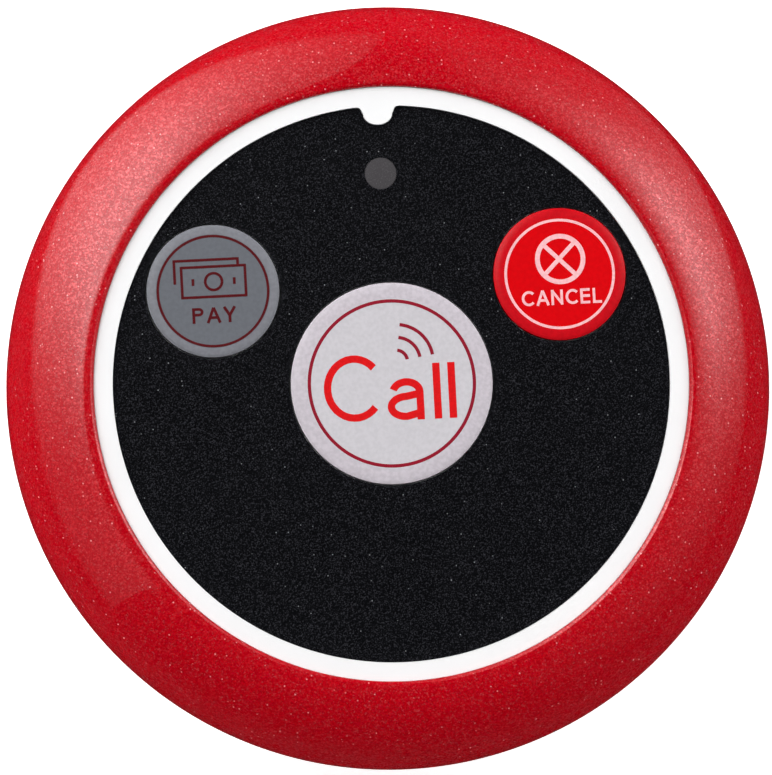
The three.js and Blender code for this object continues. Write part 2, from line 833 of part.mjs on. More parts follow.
const antennaStart = new THREE.Vector3(
  antennaPlace[0],
  antennaPlace[1],
  boardBottom - antennaRadius - antennaWire / 2 - threadGap,
);
const antennaCurve = new Coil(antennaStart, 1, antennaLength, antennaTurns, antennaRadius, antennaRadius);
place("antenna_coil", wire(antennaCurve, antennaWire, antennaTurns * stepsPerTurn), copper);

// ---------------------------------------------------------------- battery and its contacts

function battery() {
  const radius = batteryDiameter / 2;
  const bodyLength = batteryLength - batteryNubLength;
  const cell = new THREE.LatheGeometry(
    [
      [0, 0],
      [radius - edgeBreak, 0],
      [radius, edgeBreak],
      [radius, bodyLength - edgeBreak],
      [radius - edgeBreak, bodyLength],
      [batteryNubRadius, bodyLength],
      [batteryNubRadius, batteryLength],
      [0, batteryLength],
    ].map(([across, along]) => new THREE.Vector2(across, along)),
    batteryFacets,
  );
  return solid(cell.translate(0, batteryRear, batteryAxisZ));
}
place("battery", battery(), batterySleeve);

const contactBottom = batteryAxisZ - contactWidth / 2;
const contactSides = [-contactWidth / 2, contactWidth / 2];
place(
  "battery_contact_plate",
  block(contactSides, [batteryFront, contactFront], [contactBottom, boardBottom]),
  steel,
);
place(
  "battery_spring_plate",
  block(contactSides, [springPlateRear, springPlateFront], [contactBottom, boardBottom]),
  steel,
);

const springRoom = springWire / 2 + threadGap;
const springStart = new THREE.Vector3(0, batteryRear - springRoom, batteryAxisZ);
const springCurve = new Coil(
  springStart,
  -1,
  springLength - 2 * springRoom,
  springTurns,
  springSmallRadius,
  springLargeRadius,
);
place("battery_spring", wire(springCurve, springWire, springTurns * stepsPerTurn), steel);

export default group;
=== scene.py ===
"""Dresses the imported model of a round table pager: lacquered ring, film, printed keys and white case."""

import itertools
import math

import bmesh
import bpy
import numpy as np
from bpy.props import FloatProperty, FloatVectorProperty, IntProperty, PointerProperty
from mathutils import Matrix, Vector


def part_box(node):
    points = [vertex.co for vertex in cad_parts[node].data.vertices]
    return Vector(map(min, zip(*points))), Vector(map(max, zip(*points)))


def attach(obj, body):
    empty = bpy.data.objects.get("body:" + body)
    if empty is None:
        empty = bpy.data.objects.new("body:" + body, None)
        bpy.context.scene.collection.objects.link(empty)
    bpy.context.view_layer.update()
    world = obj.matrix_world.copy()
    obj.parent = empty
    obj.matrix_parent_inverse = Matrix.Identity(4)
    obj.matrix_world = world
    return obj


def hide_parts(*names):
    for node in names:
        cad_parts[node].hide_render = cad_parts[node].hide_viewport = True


bl_info = {
    "name": "Table pager",
    "version": (1, 0, 0),
    "blender": (4, 5, 0),
    "location": "3D View > Sidebar > Pager",
    "description": "Fine surfaces, finishes and studio for a three-key table pager",
    "category": "Object",
}

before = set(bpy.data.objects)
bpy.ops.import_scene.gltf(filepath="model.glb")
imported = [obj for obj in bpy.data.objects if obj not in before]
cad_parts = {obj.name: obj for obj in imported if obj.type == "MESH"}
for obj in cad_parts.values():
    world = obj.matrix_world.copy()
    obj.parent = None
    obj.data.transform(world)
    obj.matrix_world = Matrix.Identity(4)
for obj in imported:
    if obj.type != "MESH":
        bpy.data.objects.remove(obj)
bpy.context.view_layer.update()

MM = 0.001
TURN = 2 * math.pi


# ---- what the frame says


def middle_of(node):
    """Middle of a CAD node's box, in metres."""
    low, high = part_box(node)
    return (low + high) / 2


def radius_of(node):
    """Half the width of a round CAD node, in metres."""
    low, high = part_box(node)
    return (high.x - low.x) / 2


RING_LOW, RING_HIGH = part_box("bezel_ring")
FRONT_LOW, FRONT_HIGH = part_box("front_shell")
REAR_LOW, REAR_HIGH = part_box("rear_shell")
_, DOOR_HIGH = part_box("battery_door")
FILM_LOW, FILM_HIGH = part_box("overlay_film")
SEAL_LOW, SEAL_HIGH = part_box("case_seal")
BOARD_LOW, BOARD_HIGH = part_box("main_board")
PLATE_TOP = FILM_LOW.z
PLATE_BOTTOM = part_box("call_switch_stem")[1].z
FLANGE_TOP = PLATE_BOTTOM + 0.5 * MM
FLOOR_BOTTOM = REAR_LOW.z
FLOOR_TOP = DOOR_HIGH.z
RIM_TOP = RING_LOW.z

# Shared by the front shell and the rear tray: the skirt inside the ring, and the facets round each shell.
SKIRT_OUTER = FRONT_HIGH.x - 0.9 * MM
SKIRT_INNER = SKIRT_OUTER - 1.4 * MM
SHELL_TURNS = 240

# Shared by the tray's channel and the door: half the plate between the door's two tongues.
PLATE_HALF = DOOR_HIGH.x - 1.0 * MM

# How far a cut runs past the surface that it opens.
PAST = 1 * MM

# Snap legs of each key: distance from its middle in millimetres, and their turns in degrees.
SNAP_LEGS = {"call": (6.4, (90, 210, 330)), "pay": (4.3, (0, 180)), "cancel": (4.3, (0, 180))}


# ---- sizes and colours a user may change


def length(name, description, default):
    """A length property in metres, given in millimetres."""
    return number(name, description, default * MM, unit="LENGTH", precision=5)


def number(name, description, default, **more):
    """A plain number property."""
    return FloatProperty(name=name, description=description, default=default, **more)


def bearing(name, description, degrees):
    """An angle property, given in degrees."""
    return number(name, description, math.radians(degrees), subtype="ANGLE")


def colour(name, description, default):
    """A linear colour property."""
    more = {"subtype": "COLOR", "size": 3, "min": 0, "max": 1}
    return FloatVectorProperty(name=name, description=description, default=default, **more)


class RingSizes(bpy.types.PropertyGroup):
    """The lacquered bezel ring."""

    inner_radius: length("Inner radius", "Edge of the lip, against the white ring", 26.65)
    lip_width: length("Lip width", "Inner edge to the crest", 0.4)
    lip_height: length("Lip height", "Fall of the lip from the crest to its edge", 0.3)
    rise: length("Rise", "Widest line to the crest", 6.8)
    wall: length("Wall", "Thickness of the ring's wall", 1.8)
    tuck: length("Tuck", "Lower edge inside the widest line", 2.57)
    fullness: number("Fullness", "Exponent of the shoulder: 2 is an ellipse, more is squarer", 2.0, min=1.5)
    turns: IntProperty(name="Facets", description="Facets round the ring", default=288, min=24)


class FaceSizes(bpy.types.PropertyGroup):
    """The white face ring and the black film."""

    film_radius: length("Film radius", "Black face film", 24.93)
    ring_radius: length("White ring radius", "Outside of the white ring", 26.63)
    film_gap: length("Film gap", "Gap round the film", 0.03)
    ring_step: length("Ring step", "Rise of the white ring and tab over the front shell's CAD top", 0.35)
    notch_half_width: length("Notch half width", "Mouth of the notch for the white tab", 1.6)
    notch_depth: length("Notch depth", "Reach of the white tab into the film", 1.7)
    key_gap: length("Key gap", "Gap round each key", 0.12)
    lamp_radius: length("Lamp window radius", "Round smoky window", 1.42)


class KeySizes(bpy.types.PropertyGroup):
    """The caps of the three keys and what is printed on them."""

    bevel_start: number("Bevel start", "Where a key's sloping border starts, against its radius", 0.88)
    bevel_fall: length("Bevel fall", "Fall of the sloping border", 0.1)
    edge_round: length("Edge round", "Rounding of a key's edge", 0.12)
    ink_height: length("Ink height", "Print above the key", 0.012)
    call_line: number("Call line", "Radius of the call key's printed line, against the key's", 0.817)
    pay_line: number("Pay line", "Radius of the pay key's printed line, against the key's", 0.83)
    cancel_line: number("Cancel line", "Radius of the cancel key's printed line, against the key's", 0.815)


class PagerColours(bpy.types.PropertyGroup):
    """Linear colours of the finishes."""

    lacquer: colour("Lacquer", "Red of the ring under its clear coat", (0.47, 0.0003, 0.007))
    # Pink-white flake colour: real flakes, painted with their glint in the base colour.
    lacquer_flake_glint: colour("Lacquer spark", "Flake in the lacquer", (0.95, 0.36, 0.37))
    white: colour("White", "White case plastic", (0.905, 0.905, 0.91))
    film: colour("Film", "Black face film", (0.0022, 0.0022, 0.0030))
    film_speck: colour("Film speck", "Light specks in the film", (0.045, 0.045, 0.053))
    # The rim colours paint the shading of each key's sloping border: painted shade on call and cancel,
    # painted light on pay.
    call: colour("Call key", "Pale grey key", (0.583, 0.561, 0.592))
    call_rim: colour("Call key rim", "Border of the pale grey key", (0.560, 0.515, 0.560))
    pay: colour("Pay key", "Dark grey key", (0.139, 0.147, 0.166))
    pay_rim: colour("Pay key rim", "Border of the dark grey key", (0.205, 0.209, 0.232))
    cancel: colour("Cancel key", "Red key", (0.66, 0.0003, 0.003))
    cancel_rim: colour("Cancel key rim", "Border of the red key", (0.56, 0.004, 0.01))
    call_ink: colour("Call ink", "Red letters on the call key", (0.68, 0.003, 0.005))
    line_ink: colour("Line ink", "Crimson line on the call key", (0.27, 0.004, 0.02))
    pay_ink: colour("Pay ink", "Maroon print on the pay key", (0.085, 0.001, 0.004))
    cancel_ink: colour("Cancel ink", "Pink-white print on the cancel key", (0.95, 0.50, 0.52))
    lamp: colour("Lamp window", "Smoky window", (0.062, 0.058, 0.062))


class StudioSettings(bpy.types.PropertyGroup):
    """Camera and lights."""

    distance: number("Camera distance", "Camera to the face", 0.6, unit="LENGTH", subtype="DISTANCE")
    tilt: bearing("Camera tilt", "From straight above", 4.37)
    heading: bearing("Camera heading", "Side that the camera leans to", 228.3)
    roll: bearing("Camera roll", "Turn of the picture", 3.04)
    view_height: length("View height", "Height of the picture at the face", 69.33)
    dome: number("Dome radius", "Soft boxes to the object", 1.2, unit="LENGTH")
    glow: number("Glow", "Peak radiance of the soft boxes", 5.1)
    room_glow: number("Room glow", "Radiance of the room", 0.006)


def settings():
    """The property groups by name."""
    scene = bpy.context.scene
    return scene.pager_ring, scene.pager_face, scene.pager_keys, scene.pager_colours, scene.pager_studio


# ---- surfaces


def arc(centre, radius, start, stop, steps):
    """Points of a circular arc: centre plus radius times cosine and sine of even steps in degrees."""
    angle = np.radians(np.linspace(start, stop, steps + 1))
    return np.column_stack((centre[0] + radius * np.cos(angle), centre[1] + radius * np.sin(angle)))


def grid_faces(rows, columns, wrap_rows, wrap_columns):
    """Quads of a grid of points numbered row by row, joined round where it wraps."""
    row = np.arange(rows if wrap_rows else rows - 1)
    column = np.arange(columns if wrap_columns else columns - 1)
    i, j = np.meshgrid(row, column, indexing="ij")
    below, beside = (i + 1) % rows, (j + 1) % columns
    here, there = i * columns, below * columns
    return np.stack((here + j, there + j, there + beside, here + beside), axis=-1).reshape(-1, 4)


def make_mesh(name, points, faces, merge=1e-7):
    """A mesh from arrays of points and faces, with doubles merged and its normals turned outwards."""
    mesh = bpy.data.meshes.new(name)
    faces = [list(map(int, face)) for face in faces]
    mesh.from_pydata(np.asarray(points, float).reshape(-1, 3).tolist(), [], faces)
    work = bmesh.new()
    work.from_mesh(mesh)
    bmesh.ops.remove_doubles(work, verts=work.verts, dist=merge)
    bmesh.ops.recalc_face_normals(work, faces=work.faces)
    work.to_mesh(mesh)
    work.free()
    return mesh


def placed(name, data):
    """An object at the origin for a mesh or a camera."""
    made = bpy.data.objects.new(name, data)
    bpy.context.scene.collection.objects.link(made)
    return made


def new_piece(name, mesh, crease=30):
    """An object for a finished mesh, smooth except across edges sharper than crease degrees."""
    piece = placed(name, mesh)
    mesh.polygons.foreach_set("use_smooth", np.ones(len(mesh.polygons), bool))
    mesh.set_sharp_from_angle(angle=math.radians(crease))
    return piece


def revolved(profile, turns, centre=(0, 0)):
    """Points and faces of a profile of radius and height carried round Z: x and y are centre plus radius
    times the cosine and sine of the turn. The profile closes on itself, or starts and ends on the axis."""
    profile = np.asarray(profile, float)
    on_axis = profile[0, 0] == 0 and profile[-1, 0] == 0
    angle = np.linspace(0, TURN, turns, endpoint=False)
    points = np.empty((turns, len(profile), 3))
    points[..., 0] = centre[0] + np.outer(np.cos(angle), profile[:, 0])
    points[..., 1] = centre[1] + np.outer(np.sin(angle), profile[:, 0])
    points[..., 2] = profile[:, 1]
    return points.reshape(-1, 3), grid_faces(turns, len(profile), True, not on_axis)


def turned_mesh(name, profile, turns, centre=(0, 0)):
    """A closed mesh of a profile turned about an upright axis."""
    return make_mesh(name, *revolved(profile, turns, centre))


def slab(low, high, angle=0.0, centre=(0, 0)):
    """Points and faces of a box between two corners, turned about an upright axis and moved to centre."""
    spans = zip(low, high)
    x, y, z = np.array(list(itertools.product(*spans)), float).T
    c, s = math.cos(angle), math.sin(angle)
    turned = np.column_stack((centre[0] + c * x - s * y, centre[1] + s * x + c * y, z))
    faces = [(0, 1, 3, 2), (4, 6, 7, 5), (0, 4, 5, 1), (2, 3, 7, 6), (0, 2, 6, 4), (1, 5, 7, 3)]
    return turned, np.array(faces)


def prism(outline, bottom, top):
    """Points and faces of an outline raised between two heights, each end one flat face."""
    outline = np.asarray(outline, float)
    count = len(outline)
    points = np.vstack([np.column_stack((outline, np.full(count, z))) for z in (bottom, top)])
    sides = [(i, (i + 1) % count, count + (i + 1) % count, count + i) for i in range(count)]
    return points, [list(range(count))[::-1], list(range(count, 2 * count)), *sides]


def capped(rows, columns):
    """Faces of a closed tube: the grid's quads, its columns joined round, and a flat end on each end row."""
    last = (rows - 1) * columns
    ends = [list(range(columns)), [last + i for i in reversed(range(columns))]]
    return grid_faces(rows, columns, False, True).tolist() + ends


def rod(radius, bottom, top, centre=(0, 0), turns=48):
    """Points and faces of an upright cylinder."""
    return revolved([(0, bottom), (radius, bottom), (radius, top), (0, top)], turns, centre)


def gathered(parts):
    """Several (points, faces) pairs as one."""
    points, faces, count = [], [], 0
    for part_points, part_faces in parts:
        points.append(np.asarray(part_points))
        faces.extend([[int(v) + count for v in face] for face in part_faces])
        count += len(part_points)
    return np.vstack(points), faces


def carved(name, mesh, joined=(), removed=(), kept=None):
    """A mesh with solids joined to it, solids cut out of it, and only its share inside a last solid kept."""
    work = placed(name + "_work", mesh)
    tools = []
    steps = [("UNION", solid) for solid in joined] + [("DIFFERENCE", solid) for solid in removed]
    if kept is not None:
        steps.append(("INTERSECT", kept))
    for operation, (points, faces) in steps:
        tool = placed("tool", make_mesh("tool", points, faces))
        tools.append(tool)
        modifier = work.modifiers.new("carve", "BOOLEAN")
        modifier.operation = operation
        modifier.solver = "EXACT"
        modifier.object = tool
    result = bpy.data.meshes.new_from_object(work.evaluated_get(bpy.context.evaluated_depsgraph_get()))
    result.name = name
    for spare in (work, *tools):
        bpy.data.objects.remove(spare)
    return result


# ---- finishes


class Finish:
    """A node material: one Principled shader, Object coordinates, and small helpers that add nodes."""

    def __init__(self, name, base, roughness, **constants):
        self.material = bpy.data.materials.new(name)
        self.material.use_nodes = True
        self.tree = self.material.node_tree
        self.shader = self.tree.nodes["Principled BSDF"]
        self.shader.inputs["Base Color"].default_value = (*base, 1)
        self.shader.inputs["Roughness"].default_value = roughness
        for socket, value in constants.items():
            self.shader.inputs[socket.replace("_", " ").title().replace("Ior", "IOR")].default_value = value
        self.place = self.node("ShaderNodeTexCoord").outputs["Object"]

    def node(self, kind, **values):
        """A node of a kind, with its settings and unlinked inputs given by name."""
        node = self.tree.nodes.new(kind)
        for key, value in values.items():
            if hasattr(node, key):
                setattr(node, key, value)
            else:
                node.inputs[key].default_value = value
        return node

    def join(self, output, socket):
        """Links an output to a socket."""
        self.tree.links.new(output, socket)

    def noise(self, size, detail=2.0):
        """Smooth noise with lumps of a size in millimetres, about 0 to 1."""
        node = self.node("ShaderNodeTexNoise", Scale=1 / (size * MM), Detail=detail)
        self.join(self.place, node.inputs["Vector"])
        return node.outputs["Fac"]

    def mottle(self, size, detail=3.0):
        """Soft patches of a size in millimetres, 0 to 1."""
        return self.ramp(self.noise(size, detail), 0.3, 0.7)

    def cells(self, size):
        """Random cells of a size in millimetres: distance to the middle, and a random colour."""
        node = self.node("ShaderNodeTexVoronoi", Scale=1 / (size * MM))
        self.join(self.place, node.inputs["Vector"])
        return node.outputs["Distance"], node.outputs["Color"]

    def math(self, operation, first, second, clamp=False):
        """One arithmetic step; numbers and outputs mix freely."""
        node = self.node("ShaderNodeMath", operation=operation, use_clamp=clamp)
        for socket, value in zip(node.inputs, (first, second)):
            if isinstance(value, (int, float)):
                socket.default_value = value
            else:
                self.join(value, socket)
        return node.outputs[0]

    def times(self, first, second):
        """The product of two values."""
        return self.math("MULTIPLY", first, second)

    def flecks(self, size, power):
        """One even random number for each cell of a size in millimetres, to a power: few are bright."""
        _, pick = self.cells(size)
        return self.math("POWER", self.channel(pick), power)

    def dots(self, size, start, stop):
        """Soft dots in the middles of cells of a size in millimetres, and each cell's random colour."""
        distance, pick = self.cells(size)
        return self.math("SUBTRACT", 1.0, self.ramp(distance, start, stop), clamp=True), pick

    def ramp(self, value, start, stop):
        """0 below start, 1 above stop, smooth between."""
        node = self.node("ShaderNodeMapRange", interpolation_type="SMOOTHSTEP")
        node.inputs["From Min"].default_value = start
        node.inputs["From Max"].default_value = stop
        self.join(value, node.inputs["Value"])
        return node.outputs["Result"]

    def blend(self, share, first, second):
        """Colour from first to second by a share; either may be an output or a colour."""
        node = self.node("ShaderNodeMix", data_type="RGBA")
        self.join(share, node.inputs["Factor"])
        for socket, value in ((node.inputs[6], first), (node.inputs[7], second)):
            if isinstance(value, bpy.types.NodeSocket):
                self.join(value, socket)
            else:
                socket.default_value = (*value, 1)
        return node.outputs[2]

    def bump(self, height, depth, strength=1.0):
        """Bump of a depth in millimetres from a height of 0 to 1."""
        node = self.node("ShaderNodeBump", Distance=depth * MM, Strength=strength)
        self.join(height, node.inputs["Height"])
        self.join(node.outputs["Normal"], self.shader.inputs["Normal"])

    def channel(self, picked):
        """First channel of a random colour, as one even number from 0 to 1."""
        node = self.node("ShaderNodeSeparateColor")
        self.join(picked, node.inputs[0])
        return node.outputs[0]

    def colour_from(self, output):
        """Drives the base colour."""
        self.join(output, self.shader.inputs["Base Color"])

    def roughness_from(self, output, low, high):
        """Drives the roughness between two values."""
        node = self.node("ShaderNodeMapRange")
        node.inputs["To Min"].default_value = low
        node.inputs["To Max"].default_value = high
        self.join(output, node.inputs["Value"])
        self.join(node.outputs["Result"], self.shader.inputs["Roughness"])


def scaled(base, share):
    """A colour made darker or lighter."""
    return tuple(min(1.0, channel * share) for channel in base)


def lacquer_finish(colours):
    """Deep red under a clear coat, with fine flakes and facets all over and clusters of larger specks; the
    flakes are real, but their pink-white colour in the base is a painted glint.
    """
    coat = {"coat_weight": 1.0, "coat_roughness": 0.03, "coat_ior": 1.54}
    under = {"subsurface_weight": 0.35, "subsurface_radius": (1.0, 0.15, 0.1), "subsurface_scale": 2.5 * MM}
    red, flake_glint = colours.lacquer, colours.lacquer_flake_glint
    f = Finish("red_flake_lacquer", red, 0.285, metallic=0.0, specular_ior_level=0.0, **coat, **under)
    body = f.blend(f.mottle(0.2), scaled(red, 0.86), scaled(red, 1.06))
    # A few fine cells turned pink-white: real flakes painted with their glint.
    body = f.blend(f.times(f.flecks(0.12, 8.0), 0.20), body, scaled(flake_glint, 0.6))
    facet = f.flecks(0.16, 3.0)
    f.join(f.math("ADD", f.times(facet, 0.3), 0.72), f.shader.inputs["Coat Weight"])
    f.join(f.times(facet, 0.2), f.shader.inputs["Metallic"])
    f.join(f.times(facet, 0.36), f.shader.inputs["Specular IOR Level"])
    body = f.blend(f.times(facet, 0.3), body, scaled(red, 2.0))
    # Sparse larger pink-white specks, clustered: painted glints of the flakes.
    near, pick = f.dots(0.5, 0.09, 0.21)
    level = f.math("ADD", f.channel(pick), f.times(f.noise(1.6), 0.8))
    picked = f.times(near, f.ramp(level, 1.0, 1.28))
    f.colour_from(f.blend(f.times(picked, 0.75), body, flake_glint))
    return f.material


def white_finish(colours):
    """Fine satin white case plastic."""
    f = Finish("white_case_plastic", colours.white, 0.38)
    f.colour_from(f.blend(f.mottle(6.0), colours.white, scaled(colours.white, 0.975)))
    f.roughness_from(f.noise(0.8), 0.32, 0.46)
    f.bump(f.noise(0.12, 3.0), 0.004, 0.5)
    return f.material


def film_finish(name, base, speck, speck_share=1.0):
    """Dark face film with a fine sandy texture and a few bright specks; the specks are painted glints."""
    f = Finish(name, base, 0.22, specular_ior_level=0.05)
    sand = f.noise(0.115, 3.0)
    body = f.blend(f.times(f.ramp(sand, 0.48, 0.80), speck_share), base, speck)
    # Sparse pale dots in the base colour: painted glints of the textured surface.
    near, pick = f.dots(0.55, 0.05, 0.13)
    picked = f.ramp(f.channel(pick), 0.80, 0.86)
    bright = f.times(near, f.times(picked, 0.8 * speck_share))
    f.colour_from(f.blend(bright, body, (0.30, 0.31, 0.33)))
    f.bump(sand, 0.02, 0.6)
    return f.material


def key_finish(name, face, rim, centre, radius, start):
    """Satin key plastic: the border outside the printed line is a little different from the face: painted
    shade on the call and cancel keys, painted light on the pay key, standing for the shading of the sloping
    border.
    """
    f = Finish(name, face, 0.24, specular_ior_level=0.12)
    local = f.node("ShaderNodeMapping")
    local.inputs["Location"].default_value = (-centre.x, -centre.y, 0)
    local.inputs["Scale"].default_value = (1, 1, 0)
    f.join(f.place, local.inputs["Vector"])
    reach = f.node("ShaderNodeVectorMath", operation="LENGTH")
    f.join(local.outputs[0], reach.inputs[0])
    share = f.ramp(reach.outputs["Value"], radius * start, radius * (start + 0.03))
    patches = f.mottle(0.35)
    face_tone = f.blend(patches, scaled(face, 1.03), scaled(face, 0.95))
    # The border's tone is painted shading of its slope.
    rim_shading_tone = f.blend(patches, scaled(rim, 1.06), scaled(rim, 0.92))
    f.colour_from(f.blend(share, face_tone, rim_shading_tone))
    f.roughness_from(f.noise(0.5), 0.2, 0.27)
    f.bump(f.noise(0.1, 2.0), 0.004, 0.5)
    return f.material


def ink_finish(name, base):
    """Screen-printed ink."""
    f = Finish(name, base, 0.3, specular_ior_level=0.2)
    f.colour_from(f.blend(f.mottle(0.25, 2.0), scaled(base, 1.05), scaled(base, 0.9)))
    return f.material


def moulded_finish(name, base, roughness, grain=0.3, depth=0.01):
    """Plain moulded or coated stuff with a fine grain."""
    f = Finish(name, base, roughness)
    f.colour_from(f.blend(f.mottle(grain * 8), scaled(base, 1.06), scaled(base, 0.9)))
    f.roughness_from(f.noise(grain * 3), max(0.05, roughness - 0.08), roughness + 0.08)
    f.bump(f.noise(grain, 3.0), depth, 0.6)
    return f.material


def metal_finish(name, base, roughness, grain=0.15):
    """Plated or bare metal with fine brushed variation."""
    f = Finish(name, base, roughness, metallic=1.0)
    f.colour_from(f.blend(f.noise(grain * 6, 4.0), base, scaled(base, 0.82)))
    f.roughness_from(f.noise(grain, 4.0), max(0.08, roughness - 0.1), roughness + 0.12)
    f.bump(f.noise(grain, 2.0), 0.003, 0.4)
    return f.material


def board_finish():
    """Green solder mask with copper tracks showing through as lighter lines, and tinned pads."""
    f = Finish("solder_mask", (0.01, 0.11, 0.035), 0.32)
    track = f.node("ShaderNodeTexBrick", Scale=1 / (3.2 * MM))
    f.join(f.place, track.inputs["Vector"])
    track.inputs["Mortar Size"].default_value = 0.06
    lighter = f.blend(track.outputs["Fac"], (0.008, 0.10, 0.032), (0.02, 0.19, 0.06))
    pad, pick = f.dots(2.4, 0.10, 0.13)
    pad = f.times(pad, f.ramp(pick, 0.5, 0.55))
    f.colour_from(f.blend(pad, lighter, (0.55, 0.56, 0.55)))
    f.bump(track.outputs["Fac"], 0.03, 0.5)
    return f.material


# ---- shapes of the visible pieces


def shoulder(ring, inset, steps):
    """Superellipse from the widest line to the crest, inset by a wall: radius and height are the crest's
    radius and the widest line's height plus the inset half axes times cosine and sine to the power of 2 over
    the fullness."""
    crest = ring.inner_radius + ring.lip_width
    widest = RING_HIGH.z - ring.rise
    turn = np.linspace(0, math.pi / 2, steps + 1)
    power = 2 / ring.fullness
    radius = crest + (RING_HIGH.x - crest - inset) * np.cos(turn).clip(0) ** power
    height = widest + (ring.rise - inset) * np.sin(turn) ** power
    return np.column_stack((radius, height))


def tucked(ring, heights):
    """Circular arc from the widest line down to the lower edge: its radius is the tuck squared plus the drop
    squared, over twice the tuck."""
    widest = RING_HIGH.z - ring.rise
    drop = widest - RIM_TOP
    bend = (ring.tuck**2 + drop**2) / (2 * ring.tuck)
    return RING_HIGH.x - bend + np.sqrt(bend**2 - (widest - heights) ** 2)


def ring_profile(ring):
    """Outside from the lower edge up over the crest, round the lip, and back down the inside."""
    crest = ring.inner_radius + ring.lip_width
    widest = RING_HIGH.z - ring.rise
    chamfer = 0.15 * MM
    low_heights = np.linspace(RIM_TOP + chamfer, widest, 14)[:-1]
    outside = np.column_stack((tucked(ring, low_heights), low_heights))
    over = shoulder(ring, 0, 48)[:-1]
    lip_turn = np.linspace(math.pi / 2, math.pi, 14)
    lip_heights = RING_HIGH.z - ring.lip_height * (1 - np.sin(lip_turn))
    lip = np.column_stack((crest + ring.lip_width * np.cos(lip_turn), lip_heights))
    stem = crest + 0.4 * MM
    inside = shoulder(ring, ring.wall, 24)[::-1]
    inside = inside[inside[:, 0] > stem]
    top_inside = [(ring.inner_radius, FLANGE_TOP), (stem, FLANGE_TOP), (stem, inside[0, 1])]
    low_inside_heights = np.linspace(widest, RIM_TOP, 12)[1:]
    low_inside = np.column_stack((tucked(ring, low_inside_heights) - ring.wall, low_inside_heights))
    foot = [(float(tucked(ring, np.array(RIM_TOP))) - chamfer, RIM_TOP)]
    return np.vstack((outside, over, lip, top_inside, inside, low_inside, foot))


def face_outline(face, grow, steps=220):
    """The film's outline: a circle whose top is cut by a notch with a round tip and round shoulders."""
    radius = face.film_radius + grow
    mouth = face.notch_half_width - grow
    ease = 0.4 * MM
    shoulder_angle = math.asin((mouth + ease) / radius)
    turn = np.linspace(math.pi / 2 + shoulder_angle, math.pi / 2 - shoulder_angle + TURN, steps)
    circle = radius * np.column_stack((np.cos(turn), np.sin(turn)))
    start = circle[-1]
    tip = face.film_radius - face.notch_depth + grow
    bowl = np.array((mouth * 0.82, 0.95 * MM))
    t = np.linspace(0, 1, 9)[1:, None]
    corner = np.array((mouth, start[1]))
    side = np.array((mouth * 0.93, start[1] - 0.3 * MM))
    rounded = (1 - t) ** 2 * start + 2 * t * (1 - t) * corner + t**2 * side
    bottom = curve((0, tip + bowl[1]), bowl, 0, -180, 25)
    left = rounded[::-1] * (-1, 1)
    return np.vstack((circle, rounded, bottom, left[:-1]))


def key_height(reach, radius, top, keys):
    """Height of a key's face at a distance from its middle: flat, then a smooth fall over the border."""
    share = np.clip((np.asarray(reach) / radius - keys.bevel_start) / (1 - keys.bevel_start), 0, 1)
    return top - keys.bevel_fall * share**2


def key_profile(radius, bottom, top, keys, stem_radius, stem_bottom):
    """Underside with its stem, the side, the rounded edge and the face."""
    edge = key_height(radius, radius, top, keys)
    corner = arc((radius - keys.edge_round, edge - keys.edge_round), keys.edge_round, 0, 90, 8)
    reach = np.linspace(radius - keys.edge_round, radius * keys.bevel_start, 10)[1:]
    border = np.column_stack((reach, key_height(reach, radius, top, keys)))
    inner = np.linspace(radius * keys.bevel_start, 0, 12)[1:]
    face = np.column_stack((inner, np.full(len(inner), top)))
    under = [(0, stem_bottom), (stem_radius, stem_bottom), (stem_radius, bottom), (radius, bottom)]
    return np.vstack((under, corner, border, face))


# ---- print


def straight(start, stop, steps=8):
    """Evenly spaced points of a straight stroke."""
    return np.linspace(start, stop, steps)


def curve(centre, radii, start, stop, steps=28):
    """Points of an elliptic stroke between two angles in degrees."""
    angle = np.radians(np.linspace(start, stop, steps))
    return np.column_stack((centre[0] + radii[0] * np.cos(angle), centre[1] + radii[1] * np.sin(angle)))


def letter(name, w):
    """Strokes of a plain letter in a box one unit high, and its advance; w is the width of a stroke."""
    h = w / 2
    if name == "C":
        return [curve((0.45, 0.5), (0.45 - h, 0.5 - h), 42, 318)], 0.86
    if name == "A":
        legs = [straight((x, 0), (0.39, 1 - h * 0.2)) for x in (h * 0.6, 0.78 - h * 0.6)]
        return [*legs, straight((0.18, 0.34), (0.60, 0.34))], 0.78
    if name == "a":
        bowl = curve((0.33, 0.245), (0.33 - h, 0.245 - h), 90, 270, 20)
        hook = curve((0.34, 0.50), (0.30 - h, 0.25 - h), 0, 165, 20)
        low = np.vstack(((0.64 - h, 0.47), bowl, (0.64 - h, h + 0.06)))
        return [np.vstack((hook[0] * (1, 0), hook)), low], 0.68
    if name == "l":
        return [straight((h, 0), (h, 1.0))], w
    if name == "L":
        return [straight((h, 0), (h, 1)), straight((h, h), (0.56, h))], 0.60
    if name == "N":
        stems = [straight((x, 0), (x, 1)) for x in (h, 0.74 - h)]
        return [*stems, straight((h, 1 - h), (0.74 - h, h))], 0.76
    if name == "E":
        bars = [straight((h, y), (0.60, y)) for y in (h, 0.52, 1 - h)]
        return [straight((h, 0), (h, 1)), *bars], 0.64
    if name == "P":
        bowl = curve((0.38, 0.73), (0.27 - h, 0.27 - h), 90, -90)
        joined = np.vstack(((h, 1 - h), bowl, (h, 0.46 + h)))
        return [straight((h, 0), (h, 1)), joined], 0.68
    if name == "Y":
        arms = [straight((0.36, 0.45), (x, 1)) for x in (h * 0.7, 0.72 - h * 0.7)]
        return [straight((0.36, 0), (0.36, 0.47)), *arms], 0.72
    raise ValueError(name)


